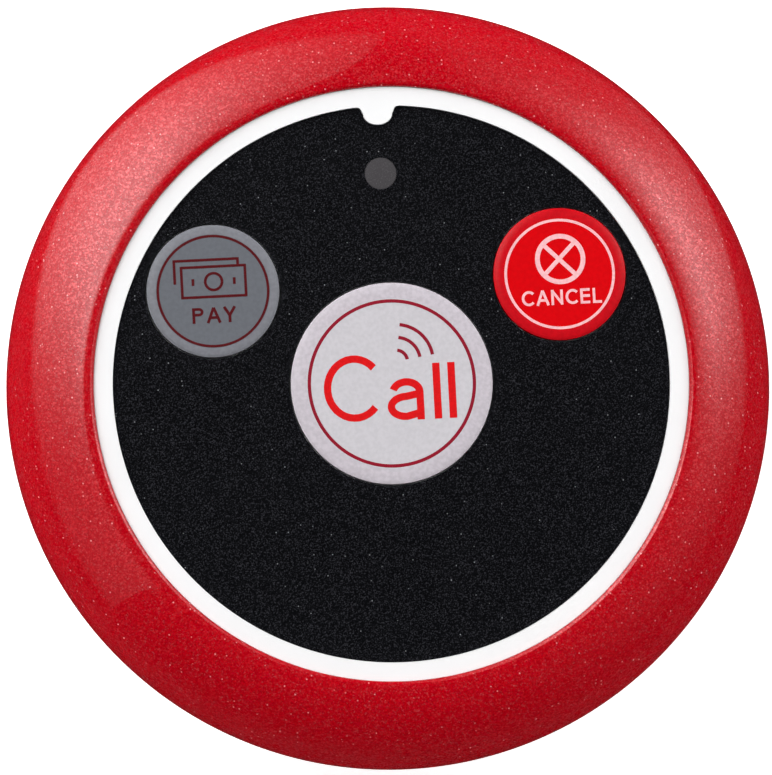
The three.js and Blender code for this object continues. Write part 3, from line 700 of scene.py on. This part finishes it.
def word(text, height, width, weight, first=1.0):
    """Strokes of a word, centred, of a height and a width in metres, with strokes of a weight; the first
    letter may be larger."""
    strokes, at = [], 0.0
    gap = 0.13
    for place, name in enumerate(text):
        made, advance = letter(name, weight / height)
        size = first if place == 0 else 1.0
        strokes += [s * size + (at, 0) for s in made]
        at += advance * size + (gap - 0.07 if name == "C" else gap)
    total = at - gap
    stretch = width / total
    return [np.column_stack(((s[:, 0] - total / 2) * stretch, (s[:, 1] - 0.5) * height)) for s in strokes]


def ribbon(path, width, lift, height_at, sink=0.03 * MM, closed=False):
    """Points and faces of a flat band along a path: each cross-section has its two edges half a width to
    either side, at the face's height plus lift above and minus sink below."""
    path = np.asarray(path, float)
    if closed:
        ahead = np.roll(path, -1, axis=0) - np.roll(path, 1, axis=0)
    else:
        ahead = np.gradient(path, axis=0)
    ahead /= np.linalg.norm(ahead, axis=1)[:, None]
    side = np.column_stack((-ahead[:, 1], ahead[:, 0])) * width / 2
    left, right = path + side, path - side
    section = []
    for edge, offset in ((left, -sink), (left, lift), (right, lift), (right, -sink)):
        section.append(np.column_stack((edge, height_at(np.linalg.norm(edge, axis=1)) + offset)))
    points = np.stack(section, axis=1).reshape(-1, 3)
    if closed:
        return points, grid_faces(len(path), 4, True, True)
    return points, capped(len(path), 4)


def moved(strokes, x, y):
    """Strokes moved by x and y in millimetres."""
    return [stroke + (x * MM, y * MM) for stroke in strokes]


class Print:
    """The print on one key: thin bands lying on its face."""

    step = 0.0015 * MM

    def __init__(self, keys, name, middle, radius, top):
        self.keys, self.name, self.middle, self.radius, self.top = keys, name, middle, radius, top

    def height_at(self, reach):
        """Height of the key's face at a distance from its middle."""
        return key_height(reach, self.radius, self.top, self.keys)

    def mark(self, part, strokes, width, ink, above=0.0, closed=False):
        """One printed mark: each stroke is a band, its width in millimetres, a hair higher than the last
        where they cross."""
        bands = []
        for i, stroke in enumerate(strokes):
            lift = self.keys.ink_height + above + i * self.step
            bands.append(ribbon(stroke, width * MM, lift, self.height_at, closed=closed))
        points, faces = gathered(bands)
        points[:, :2] += (self.middle.x, self.middle.y)
        name = f"{self.name}_{part}"
        piece = new_piece(name, make_mesh(name, points, faces, merge=1e-9), crease=40)
        piece.data.materials.append(ink)
        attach(piece, f"{self.name}_key")


def dress(piece, material, body, slot, *nodes):
    """Gives a piece its finish and its body, and hides the CAD nodes that it stands for; slot is not used."""
    piece.data.materials.clear()
    piece.data.materials.append(material)
    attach(piece, body)
    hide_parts(*nodes)


# ---- operators


class PAGER_OT_ring(bpy.types.Operator):
    """The lacquered bezel ring: its profile carried once round the case"""

    bl_idname = "pager.ring"
    bl_label = "Bezel ring"

    def execute(self, context):
        ring, _, _, colours, _ = settings()
        piece = new_piece("ring_shell", turned_mesh("ring_shell", ring_profile(ring), ring.turns), 40)
        dress(piece, lacquer_finish(colours), "housing", "red_metallic_plastic", "bezel_ring")
        return {"FINISHED"}


def key_places():
    """Name, middle, radius and heights of each key, from the frame."""
    for name in SNAP_LEGS:
        cap = f"{name}_key_cap"
        low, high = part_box(cap)
        yield name, middle_of(cap), radius_of(cap), low.z, high.z


class PAGER_OT_face(bpy.types.Operator):
    """The white front shell with its face ring and tab, the black film and the lamp window"""

    bl_idname = "pager.face"
    bl_label = "Front shell and film"

    def execute(self, context):
        _, face, _, colours, _ = settings()
        self.front_shell(face, colours)
        self.film(face, colours)
        self.lamp_window(face, colours)
        return {"FINISHED"}

    def front_shell(self, face, colours):
        """The front shell's section turned about Z, with posts joined on, and the film's recess and the
        pockets of the keys and their snap legs cut out."""
        top = FRONT_HIGH.z + face.ring_step
        step = radius_of("main_board")
        ledge, flange_bottom = PLATE_BOTTOM - 1.2 * MM, FLANGE_TOP - 1.4 * MM
        profile = [(0, PLATE_BOTTOM), (step - 0.8 * MM, PLATE_BOTTOM), (step, ledge), (SKIRT_INNER, ledge)]
        profile += [(SKIRT_INNER, SEAL_HIGH.z), (SKIRT_OUTER, SEAL_HIGH.z), (SKIRT_OUTER, flange_bottom)]
        profile += [(FRONT_HIGH.x, flange_bottom), (FRONT_HIGH.x, FLANGE_TOP), (face.ring_radius, FLANGE_TOP)]
        profile += [(face.ring_radius, top), (0, top)]
        base = turned_mesh("front_base", profile, SHELL_TURNS)
        rooted = PLATE_BOTTOM + 0.4 * MM
        post, boss, stem_hole = 2.4 * MM, 2.1 * MM, 2.25 * MM
        posts = [rod(post, FRONT_LOW.z, rooted, p, 24) for p in screw_places("case_screw", 4)]
        posts += [rod(boss, BOARD_HIGH.z, rooted, p, 24) for p in screw_places("board_screw", 3)]
        removed = [prism(face_outline(face, face.film_gap), PLATE_TOP, top + PAST)]
        lamp = middle_of("led_window")
        removed.append(rod(face.lamp_radius + 0.05 * MM, PLATE_BOTTOM - PAST, top, lamp))
        low, pocket, shelf = PLATE_BOTTOM - PAST, PLATE_BOTTOM + 1.4 * MM, PLATE_BOTTOM + 1 * MM
        for name, place, radius, _, _ in key_places():
            removed.append(rod(radius + face.key_gap, shelf, top + PAST, place, 96))
            removed.append(rod(stem_hole, low, pocket, place, 32))
            pitch, angles = SNAP_LEGS[name]
            for angle in angles:
                low_corner = ((pitch - 0.7) * MM, -1.25 * MM, low)
                high_corner = ((pitch + 0.7) * MM, 1.25 * MM, pocket)
                removed.append(slab(low_corner, high_corner, math.radians(angle), place))
        mesh = carved("front_face", base, posts, removed)
        dress(new_piece("front_face", mesh), white_finish(colours), "housing", "white_plastic", "front_shell")

    def film(self, face, colours):
        """The film's outline raised to its thickness, with round holes for the keys and the lamp window."""
        base = make_mesh("film_base", *prism(face_outline(face, 0), FILM_LOW.z, FILM_HIGH.z))
        low, high = FILM_LOW.z - PAST, FILM_HIGH.z + PAST
        holes = [rod(r + face.key_gap, low, high, place, 128) for _, place, r, _, _ in key_places()]
        holes.append(rod(face.lamp_radius + 0.02 * MM, low, high, middle_of("led_window"), 64))
        mesh = carved("face_film", base, (), holes)
        finish = film_finish("speckled_film", colours.film, colours.film_speck)
        dress(new_piece("face_film", mesh), finish, "housing", "black_film", "overlay_film")

    def lamp_window(self, face, colours):
        """The lamp window: a light pipe with a collar below and a faintly domed top."""
        low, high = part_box("led_window")
        radius = face.lamp_radius
        collar = radius_of("led_window")
        dome = np.linspace(radius, 0, 12)
        top = np.column_stack((dome, high.z - 0.05 * MM * (dome / radius) ** 2))
        under = [(0, low.z), (collar, low.z), (collar, PLATE_BOTTOM), (radius, PLATE_BOTTOM)]
        profile = np.vstack((under, top))
        mesh = turned_mesh("lamp_window", profile, 64, middle_of("led_window"))
        # The window's sparse pale dots are painted glints too, as on the film.
        finish = film_finish("smoky_window", colours.lamp, scaled(colours.lamp, 2.0), 0.6)
        dress(new_piece("lamp_window", mesh), finish, "housing", "smoky_window", "led_window")


def screw_places(prefix, count):
    """Middles of a row of screws, from the frame."""
    return [middle_of(f"{prefix}_{i + 1}") for i in range(count)]


class PAGER_OT_keys(bpy.types.Operator):
    """The caps of the call, pay and cancel keys, each with its stem and snap legs"""

    bl_idname = "pager.keys"
    bl_label = "Key caps"

    def execute(self, context):
        _, _, keys, colours, _ = settings()
        slots = {"call": "call_key_grey", "pay": "pay_key_grey", "cancel": "cancel_key_red"}
        bottom, stem_radius = PLATE_BOTTOM + 1.5 * MM, 2 * MM
        # Sides of a snap leg and of its barb, in millimetres from the leg's middle, and their tops.
        leg, barb = (-0.45, 0.45, bottom - 0.001 * MM), (0.451, 0.95, PLATE_BOTTOM - 0.1 * MM)
        for name, place, radius, low, high in key_places():
            profile = key_profile(radius, bottom, high, keys, stem_radius, PLATE_BOTTOM)
            pieces = [revolved(profile, 128, place)]
            pitch, angles = SNAP_LEGS[name]
            for angle in angles:
                for inner, outer, top in (leg, barb):
                    low_corner = ((pitch + inner) * MM, -1 * MM, low)
                    high_corner = ((pitch + outer) * MM, 1 * MM, top)
                    pieces.append(slab(low_corner, high_corner, math.radians(angle), place))
            mesh = make_mesh(f"{name}_key", *gathered(pieces))
            # The rim colour is the painted shading of the key's sloping border.
            face, rim = getattr(colours, name), getattr(colours, f"{name}_rim")
            border = getattr(keys, f"{name}_line") + 0.01
            finish = key_finish(f"{name}_key_plastic", face, rim, place, radius, border)
            dress(new_piece(f"{name}_key", mesh, 35), finish, f"{name}_key", slots[name], f"{name}_key_cap")
        return {"FINISHED"}


class PAGER_OT_print(bpy.types.Operator):
    """What is printed on the keys: a line round each, plain words, a crossed circle, banknotes and arcs"""

    bl_idname = "pager.print"
    bl_label = "Printed marks"

    def execute(self, context):
        _, _, keys, colours, _ = settings()
        inks = {
            "call": ink_finish("red_ink", colours.call_ink),
            "line": ink_finish("crimson_ink", colours.line_ink),
            "pay": ink_finish("maroon_ink", colours.pay_ink),
            "cancel": ink_finish("pink_white_ink", colours.cancel_ink),
        }
        # Width in millimetres and ink of the line round each key.
        lines = {"call": (0.30, "line"), "pay": (0.23, "pay"), "cancel": (0.24, "cancel")}
        for name, middle, radius, _, high in key_places():
            key = Print(keys, name, middle, radius, high)
            width, ink = lines[name]
            reach = radius * getattr(keys, f"{name}_line")
            key.mark("line", [curve((0, 0), (reach, reach), 0, 357.5, 144)], width, inks[ink], closed=True)
            getattr(self, f"mark_{name}")(key.mark, inks)
        return {"FINISHED"}

    def mark_call(self, mark, inks):
        """The word in plain round letters and three plain concentric arcs."""
        letters = word("Call", height=5.0 * MM, width=11.9 * MM, weight=0.66 * MM, first=1.22)
        mark("word", moved(letters, -0.25, -0.85), 0.66, inks["call"])
        hub = (0.5 * MM, 1.95 * MM)
        arcs = [curve(hub, (r * MM, r * MM), 8, 82, 24) for r in (1.0, 2.15, 3.3)]
        mark("arcs", arcs, 0.3, inks["line"])

    def mark_pay(self, mark, inks):
        """The word and a plain banknote, a frame round a hoop and two bars, with a second note behind."""
        letters = word("PAY", height=1.4 * MM, width=3.95 * MM, weight=0.25 * MM)
        mark("word", moved(letters, 0, -2.15), 0.25, inks["pay"])
        wide, tall, up, middle = 2.85 * MM, 1.35 * MM, 0.85 * MM, 0.1 * MM
        shift = 0.62 * MM
        over = (0, 0.11 * MM)
        corners = np.array([(-wide, up - tall), (wide, up - tall), (wide, up + tall), (-wide, up + tall)])
        corners[:, 0] += middle
        low_left, low_right, high_right, high_left = corners
        back_left, back_right, back_low = (c + (-shift, shift) for c in (high_left, high_right, low_left))
        strokes = [
            straight(low_right - over, high_right + over),
            straight(high_left + over, low_left - over),
            straight(low_left, low_right),
            straight(high_right, high_left),
            straight(back_right, back_left),
            straight(back_left + over, back_low + (0, shift)),
            straight(back_right + over, high_right + (-shift, 0)),
            curve((middle, up), (0.75 * MM, 0.75 * MM), 0, 360, 48),
        ]
        half = 0.3 * MM
        for x in (middle - 1.85 * MM, middle + 1.85 * MM):
            strokes.append(straight((x, up - half), (x, up + half)))
        mark("banknote", strokes, 0.24, inks["pay"])

    def mark_cancel(self, mark, inks):
        """The word and a crossed circle."""
        letters = word("CANCEL", height=1.36 * MM, width=7.25 * MM, weight=0.23 * MM)
        mark("word", moved(letters, 0.1, -2.08), 0.23, inks["cancel"])
        up, reach = 1.34 * MM, 2.05 * MM
        across = reach * math.sqrt(0.5)
        cross = [straight((-across, up - rise), (across, up + rise)) for rise in (across, -across)]
        mark("cross", cross, 0.38, inks["cancel"])
        hoop = curve((0.12 * MM, up), (reach, reach), 0, 355, 72)
        mark("hoop", [hoop], 0.43, inks["cancel"], above=0.004 * MM, closed=True)


class PAGER_OT_case(bpy.types.Operator):
    """The white rear tray with its cradle and door channel, the sliding door, the feet and the case screws"""

    bl_idname = "pager.case"
    bl_label = "Rear shell, door, feet and screws"

    def execute(self, context):
        white = white_finish(settings()[3])
        self.rear_tray(white)
        self.sliding_door(white)
        self.feet()
        self.case_screws()
        return {"FINISHED"}

    def foot_outline(self):
        """Section of the tray's outside from the middle of the floor to the ledge, its lower corner chamfered
        and eased."""
        chamfer, edge = 1.6 * MM, 0.25 * MM
        rim = REAR_HIGH.x
        ease = arc((rim - chamfer - edge, FLOOR_BOTTOM + edge), edge, -90, -45, 4)
        return np.vstack(([(0, FLOOR_BOTTOM)], ease, [(rim, FLOOR_BOTTOM + chamfer + edge), (rim, RIM_TOP)]))

    def rear_tray(self, white):
        """The tray's section turned about Z, with bosses, deck and cradle joined and the door's channel cut
        through."""
        skirt = [(SKIRT_OUTER, RIM_TOP), (SKIRT_OUTER, SEAL_LOW.z), (SKIRT_INNER, SEAL_LOW.z)]
        inside = [(SKIRT_INNER, FLOOR_TOP), (0, FLOOR_TOP)]
        base = turned_mesh("tray_base", np.vstack((self.foot_outline(), skirt, inside)), SHELL_TURNS)
        under = FLOOR_BOTTOM - PAST

        screws = screw_places("case_screw", 4)
        head_seat = FLOOR_BOTTOM + 1.65 * MM
        boss_top = FRONT_LOW.z if FRONT_LOW.z > FLOOR_TOP else FLOOR_TOP + 2 * MM
        boss, head_hole, shank_hole = 3.0 * MM, 2.05 * MM, 1.1 * MM
        joined = [rod(boss, FLOOR_BOTTOM + 0.2 * MM, boss_top, p, 32) for p in screws]

        gap, wall = 0.15 * MM, 1.0 * MM
        plate, tongue = PLATE_HALF + gap, DOOR_HIGH.x + gap
        deck_bottom, deck_top = FLOOR_TOP + 0.1 * MM, FLOOR_TOP + 1.1 * MM
        deck = tongue + wall
        deck_rear = -math.sqrt(SKIRT_INNER**2 - deck**2) - 0.4 * MM
        deck_front = DOOR_HIGH.y + 1 * MM
        joined.append(slab((-deck, deck_rear, FLOOR_BOTTOM + 0.3 * MM), (deck, deck_front, deck_top)))

        cell_low, cell_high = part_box("battery")
        bay = (cell_high.x - cell_low.x) / 2 + 0.25 * MM
        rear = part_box("battery_spring_plate")[0].y - 0.25 * MM
        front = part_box("battery_contact_plate")[1].y + 0.25 * MM
        bay_top = BOARD_LOW.z - 0.2 * MM
        cradle_low = (-bay - wall, rear - wall, deck_bottom + 0.5 * MM)
        joined.append(slab(cradle_low, (bay + wall, front + wall, bay_top)))

        outside, door_front = -RING_HIGH.x - PAST, DOOR_HIGH.y + gap
        removed = [
            slab((-plate, outside, under), (plate, door_front, deck_bottom)),
            slab((-tongue, outside, FLOOR_TOP - 0.8 * MM), (tongue, door_front, deck_bottom)),
            slab((-bay, rear, FLOOR_BOTTOM), (bay, front, bay_top + PAST)),
        ]
        removed += [rod(head_hole, under, head_seat, p, 40) for p in screws]
        removed += [rod(shank_hole, head_seat - PAST, boss_top + PAST, p, 24) for p in screws]
        for i in range(4):
            name = f"foot_{i + 1}"
            removed.append(rod(radius_of(name) + 0.1 * MM, under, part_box(name)[1].z, middle_of(name), 64))
        mesh = carved("rear_tray", base, joined, removed)
        dress(new_piece("rear_tray", mesh), white, "housing", "white_plastic", "rear_shell")

    def sliding_door(self, white):
        """The door: a plate and its side tongues kept inside the tray's outline, with rounded thumb ridges
        joined."""
        outline = np.vstack((self.foot_outline(), [(0, RIM_TOP)]))
        rear = -RING_HIGH.x
        half, wide, front = PLATE_HALF, DOOR_HIGH.x, DOOR_HIGH.y
        plate = make_mesh("door_base", *slab((-half, rear, FLOOR_BOTTOM), (half, front, FLOOR_TOP)))
        tongues = slab((-wide, rear, FLOOR_TOP - 0.7 * MM), (wide, front - 0.01 * MM, FLOOR_TOP))
        body = carved("door_body", plate, [tongues], (), revolved(outline, SHELL_TURNS))
        ridge = {"width": 0.7 * MM, "half_length": 4 * MM, "height": 0.3 * MM}
        first, pitch = -24.18, 1.6
        ridges = [self.ridge((first + pitch * i) * MM, **ridge) for i in range(3)]
        mesh = carved("sliding_door", body, ridges)
        dress(new_piece("sliding_door", mesh), white, "battery_door", "white_plastic", "battery_door")

    def ridge(self, rear, width, half_length, height):
        """A half-round bar across the door: a half circle carried along X and narrowed at its ends."""
        turn = np.linspace(0, math.pi, 10)
        rooted = 0.1 * MM
        along = np.linspace(-half_length, half_length, 24)
        share = np.sqrt(np.clip(1 - (np.abs(along) / half_length) ** 8, 0.02, 1))
        points = np.empty((len(along), len(turn), 3))
        points[..., 0] = along[:, None]
        points[..., 1] = rear + width / 2 - np.outer(share, width / 2 * np.cos(turn))
        points[..., 2] = FLOOR_BOTTOM + rooted - np.outer(share, (height + rooted) * np.sin(turn))
        return points.reshape(-1, 3), capped(len(along), len(turn))

    def feet(self):
        """Four rubber feet: a disc with a rounded lower edge and a shallow dish."""
        rubber = moulded_finish("foot_rubber", (0.022, 0.022, 0.024), 0.75, grain=0.12, depth=0.02)
        for i in range(4):
            name = f"foot_{i + 1}"
            _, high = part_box(name)
            radius = radius_of(name)
            edge = 0.35 * MM
            dish = [(0, 0.12 * MM), (radius * 0.55, 0.1 * MM), (radius * 0.72, 0)]
            rounded = arc((radius - edge, edge), edge, -90, 0, 6)
            section = np.vstack((dish, rounded, [(radius, high.z), (0, high.z)]))
            mesh = turned_mesh(f"rubber_{name}", section, 64, middle_of(name))
            dress(new_piece(f"rubber_{name}", mesh), rubber, "housing", "rubber_black", name)

    def case_screws(self):
        """Four pan-head screws with a cross recess and a threaded shank, standing head down."""
        steel = metal_finish("plated_steel", (0.62, 0.63, 0.64), 0.28)
        screw = {"head_radius": 1.9 * MM, "head_height": 1.5 * MM, "shank_radius": 0.85 * MM}
        for i, place in enumerate(screw_places("case_screw", 4)):
            name = f"case_screw_{i + 1}"
            low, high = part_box(name)
            mesh = screw_mesh(f"{name}_fine", place, low.z, high.z, **screw)
            dress(new_piece(f"{name}_fine", mesh), steel, "housing", "bright_steel", name)


def screw_mesh(name, place, low, high, head_radius, head_height, shank_radius):
    """A screw head with rounded edge and cross recess; its shank's radius rises and falls like a thread."""
    edge = head_radius * 0.3
    head = np.vstack(([(0, low)], arc((head_radius - edge, low + edge), edge, -90, 0, 6)))
    seat = low + head_height
    heights = np.linspace(seat, high - 0.3 * MM, 60)
    ripple = shank_radius * (0.9 + 0.1 * np.cos((heights - seat) / (0.55 * MM) * TURN))
    shank = np.column_stack((ripple, heights))
    section = np.vstack((head, [(head_radius, seat)], shank, [(0.25 * MM, high), (0, high)]))
    arm, slit = head_radius * 0.55, head_radius * 0.13
    top = low + head_height / 2
    cross = [slab((-x, -y, low - PAST), (x, y, top), centre=place) for x, y in ((arm, slit), (slit, arm))]
    return carved(name, turned_mesh(name + "_base", section, 40, place), (), cross)


class PAGER_OT_inside(bpy.types.Operator):
    """The battery and its spring as fine pieces, and finishes for the parts that keep their CAD shape"""

    bl_idname = "pager.inside"
    bl_label = "Inside"

    def execute(self, context):
        self.battery()
        self.spring()
        self.finish_nodes()
        return {"FINISHED"}

    def battery(self):
        """The cell along Y: crimped ends, a sleeve a little proud of them and a nub."""
        low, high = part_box("battery")
        middle = (low + high) / 2
        radius = (high.x - low.x) / 2
        front = high.y - 1.2 * MM
        edge = 0.5 * MM
        section = np.vstack(
            (
                [(0, low.y + 0.15 * MM), (radius * 0.8, low.y + 0.15 * MM)],
                arc((radius - edge, low.y + edge), edge, -90, 0, 8),
                arc((radius - edge, front - edge), edge, 0, 90, 8),
                [(radius * 0.78, front - 0.2 * MM), (1.9 * MM, front - 0.2 * MM)],
                arc((1.6 * MM, high.y - 0.3 * MM), 0.3 * MM, 0, 90, 5),
                [(0, high.y)],
            )
        )
        points, faces = revolved(section, 96)
        points = np.column_stack((points[:, 0] + middle.x, points[:, 2], points[:, 1] + middle.z))
        piece = new_piece("cell", make_mesh("cell", points, faces))
        f = Finish("cell_sleeve", (0.05, 0.13, 0.32), 0.25, metallic=0.4)
        split = f.node("ShaderNodeSeparateXYZ")
        f.join(f.place, split.inputs[0])
        along = split.outputs["Y"]
        sleeve = f.blend(f.mottle(1.5, 2.0), (0.035, 0.10, 0.27), (0.05, 0.14, 0.36))
        banded = f.blend(f.ramp(along, front - 6 * MM, front - 5.9 * MM), sleeve, (0.62, 0.40, 0.12))
        metal_front = f.ramp(along, front - 0.12 * MM, front - 0.06 * MM)
        f.colour_from(f.blend(metal_front, banded, (0.6, 0.6, 0.6)))
        dress(piece, f.material, "housing", "battery_sleeve", "battery")

    def spring(self):
        """The cone spring: a round wire along a helix about Y whose radius grows evenly to the large end."""
        low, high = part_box("battery_spring")
        middle = (low + high) / 2
        wire = 0.25 * MM
        turns, steps, around = 3.0, 180, 14
        t = np.linspace(0, 1, steps)
        large, small = (high.x - low.x) / 2 - wire, 1.9 * MM
        radius = small + (large - small) * t
        angle = t * turns * TURN
        along = high.y - wire - (high.y - low.y - 2 * wire) * t
        path = np.column_stack((middle.x + radius * np.cos(angle), along, middle.z + radius * np.sin(angle)))
        ahead = np.gradient(path, axis=0)
        ahead /= np.linalg.norm(ahead, axis=1)[:, None]
        outward = np.column_stack((np.cos(angle), np.zeros(steps), np.sin(angle)))
        outward -= (outward * ahead).sum(1)[:, None] * ahead
        outward /= np.linalg.norm(outward, axis=1)[:, None]
        other = np.cross(ahead, outward)
        turn = np.linspace(0, TURN, around, endpoint=False)[None, :, None]
        rim = np.cos(turn) * outward[:, None, :] + np.sin(turn) * other[:, None, :]
        points = path[:, None, :] + wire * rim
        piece = new_piece("contact_spring", make_mesh("contact_spring", points, capped(steps, around)))
        steel = metal_finish("nickel_wire", (0.66, 0.65, 0.62), 0.22)
        dress(piece, steel, "housing", "bright_steel", "battery_spring")

    def finish_nodes(self):
        """Finishes for the nodes that keep their CAD mesh."""
        black = moulded_finish("black_moulding", (0.014, 0.014, 0.015), 0.5)
        steel = metal_finish("tinned_steel", (0.6, 0.61, 0.6), 0.3)
        copper = metal_finish("bare_copper", (0.72, 0.31, 0.15), 0.25)
        brown = moulded_finish("ceramic_brown", (0.30, 0.18, 0.09), 0.45, grain=0.1)
        foam = moulded_finish("grey_foam", (0.05, 0.05, 0.055), 0.95, grain=0.25, depth=0.08)
        sleeve = moulded_finish("capacitor_sleeve", (0.02, 0.035, 0.09), 0.3, grain=0.6)
        clear = moulded_finish("lamp_resin", (0.85, 0.84, 0.72), 0.2, grain=0.4, depth=0.004)
        wanted = {
            "main_board": board_finish(),
            "status_led": clear,
            "saw_resonator": steel,
            "antenna_coil": copper,
            "electrolytic_capacitor": sleeve,
            "battery_contact_plate": steel,
            "battery_spring_plate": steel,
            "case_seal": foam,
        }
        for name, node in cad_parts.items():
            if node.hide_render:
                continue
            finish = wanted.get(name, black)
            if name.startswith("board_screw"):
                finish = steel
            if name.startswith("chip_capacitor"):
                finish = brown
            node.data.materials.clear()
            node.data.materials.append(finish)


class PAGER_OT_stage(bpy.types.Operator):
    """The studio: a white floor, two large soft boxes overhead, a faint panel at the front and the camera"""

    bl_idname = "pager.stage"
    bl_label = "Studio"

    def execute(self, context):
        *_, studio = settings()
        scene = context.scene
        scene.view_settings.view_transform = "Standard"
        scene.view_settings.look = "None"
        self.floor()
        self.soft_box(
            studio, "soft_box_left", side=137, span=(84.5, 215), spread=24, reach=82, corner=133,
            inner=((84.5, 89.5, 200), (80, 8, 8)), fade=85, edges=(4, 12),
        )
        self.soft_box(
            studio, "soft_box_right", side=25, span=(-62, 88), spread=18.5, reach=84, corner=47,
            inner=((-60, 66, 88), (9, 9, 80)), fade=66, edges=(28, 10),
        )
        fill = self.soft_box(
            studio, "fill_panel", side=270, span=(200, 340), spread=90, reach=82, corner=0,
            inner=((200, 340), (10, 10)), fade=200, edges=(10, 10), strength=0.05,
        )
        fill.visible_glossy = False
        self.camera(studio)
        world = bpy.data.worlds.new("room")
        world.use_nodes = True
        background = world.node_tree.nodes["Background"]
        background.inputs["Color"].default_value = (1, 1, 1, 1)
        background.inputs["Strength"].default_value = studio.room_glow
        scene.world = world
        return {"FINISHED"}

    def floor(self):
        """A wide white floor under the feet."""
        radius, sides = 3.0, 96
        turn = np.linspace(0, TURN, sides, endpoint=False)
        rim = radius * np.column_stack((np.cos(turn), np.sin(turn), np.zeros(sides)))
        mesh = bpy.data.meshes.new("floor")
        mesh.from_pydata(rim.tolist(), [], [list(range(sides))])
        floor = placed("floor", mesh)
        lit = {"emission_color": (1, 1, 1, 1), "emission_strength": 0.7}
        f = Finish("floor_paper", (0.93, 0.93, 0.93), 0.9, **lit)
        mesh.materials.append(f.material)
        floor.visible_glossy = False

    def soft_box(self, studio, name, side, span, spread, reach, corner, inner, fade, edges, strength=1.0):
        """A soft box as a patch of a dome, in degrees of azimuth and zenith. Its glow falls with the azimuth
        from its side as one over one plus the cube of the share of the spread, and with the zenith as one
        over one plus the fourth power of its share of the fade. Its lower edge hangs at the reach, and lower
        round its corner like a bell curve. Its upper edge runs straight between the inner points, and both
        edges fade out over their widths."""
        columns, rows = 91, 60
        drop, bell_width = 50, 25
        least_glow, rise_width = 0.08, 60
        azimuth = np.linspace(span[0], span[1], columns)
        share = np.linspace(0, 1, rows)
        lower = (reach + drop * np.exp(-(((azimuth - corner) / bell_width) ** 2)))[:, None]
        upper = np.interp(azimuth, inner[0], inner[1])[:, None]
        zenith = upper + (lower - upper) * share[None, :]
        least = least_glow * np.clip((azimuth - span[0]) / rise_width, 0, 1)
        glow = np.maximum(1 / (1 + (np.abs(azimuth - side) / spread) ** 3), least)[:, None]
        glow = glow / (1 + (zenith / fade) ** 4)
        soft = np.clip((zenith - upper) / edges[0], 0, 1) * np.clip((lower - zenith) / edges[1], 0, 1)
        a, z = np.radians(azimuth)[:, None], np.radians(zenith)
        points = studio.dome * np.stack((np.sin(z) * np.cos(a), np.sin(z) * np.sin(a), np.cos(z)), axis=-1)
        mesh = bpy.data.meshes.new(name)
        mesh.from_pydata(points.reshape(-1, 3).tolist(), [], grid_faces(columns, rows, False, False).tolist())
        layer = mesh.attributes.new("glow", "FLOAT", "POINT")
        layer.data.foreach_set("value", (studio.glow * strength * glow * soft).ravel())
        panel = placed(name, mesh)
        material = bpy.data.materials.new(name)
        material.use_nodes = True
        tree = material.node_tree
        tree.nodes.clear()
        shine = tree.nodes.new("ShaderNodeEmission")
        reading = tree.nodes.new("ShaderNodeAttribute")
        reading.attribute_name = "glow"
        output = tree.nodes.new("ShaderNodeOutputMaterial")
        tree.links.new(reading.outputs["Fac"], shine.inputs["Strength"])
        tree.links.new(shine.outputs[0], output.inputs["Surface"])
        mesh.materials.append(material)
        panel.visible_camera = False
        panel.visible_shadow = False
        return panel

    def camera(self, studio):
        """A long lens above the face, leaning a little to one side; its picture is view_height tall there."""
        camera = placed("camera", bpy.data.cameras.new("camera"))
        aim_x, aim_y = -0.54 * MM, -0.335 * MM
        aim = Vector((aim_x, aim_y, FRONT_HIGH.z))
        lean = math.sin(studio.tilt)
        heading = studio.heading
        back = Vector((lean * math.cos(heading), lean * math.sin(heading), math.cos(studio.tilt)))
        up = Vector((math.sin(studio.roll), math.cos(studio.roll), 0))
        right = up.cross(back).normalized()
        above = back.cross(right)
        turn = Matrix((right, above, back)).transposed().to_4x4()
        camera.matrix_world = Matrix.Translation(aim + back * studio.distance) @ turn
        camera.data.sensor_width = 36
        camera.data.lens = 36 * studio.distance / studio.view_height
        camera.data.clip_start, camera.data.clip_end = 0.01, 20
        bpy.context.scene.camera = camera


OPERATORS = (
    PAGER_OT_stage,
    PAGER_OT_ring,
    PAGER_OT_face,
    PAGER_OT_keys,
    PAGER_OT_print,
    PAGER_OT_case,
    PAGER_OT_inside,
)


class PAGER_PT_panel(bpy.types.Panel):
    """Lists the pieces of the pager"""

    bl_idname = "PAGER_PT_panel"
    bl_label = "Table pager"
    bl_space_type = "VIEW_3D"
    bl_region_type = "UI"
    bl_category = "Pager"

    def draw(self, context):
        for operator in OPERATORS:
            self.layout.operator(operator.bl_idname)


GROUPS = {
    "pager_ring": RingSizes,
    "pager_face": FaceSizes,
    "pager_keys": KeySizes,
    "pager_colours": PagerColours,
    "pager_studio": StudioSettings,
}


def register():
    """Registers the classes and hangs the property groups on the scene."""
    for group in (*GROUPS.values(), *OPERATORS, PAGER_PT_panel):
        bpy.utils.register_class(group)
    for name, group in GROUPS.items():
        setattr(bpy.types.Scene, name, PointerProperty(type=group))


def unregister():
    """Takes the property groups and classes away again."""
    for name in GROUPS:
        delattr(bpy.types.Scene, name)
    for group in (PAGER_PT_panel, *reversed(OPERATORS), *reversed(GROUPS.values())):
        bpy.utils.unregister_class(group)


def main():
    """Makes every piece in order."""
    register()
    for operator in OPERATORS:
        category, name = operator.bl_idname.split(".")
        getattr(getattr(bpy.ops, category), name)()


if __name__ == "__main__":
    main()
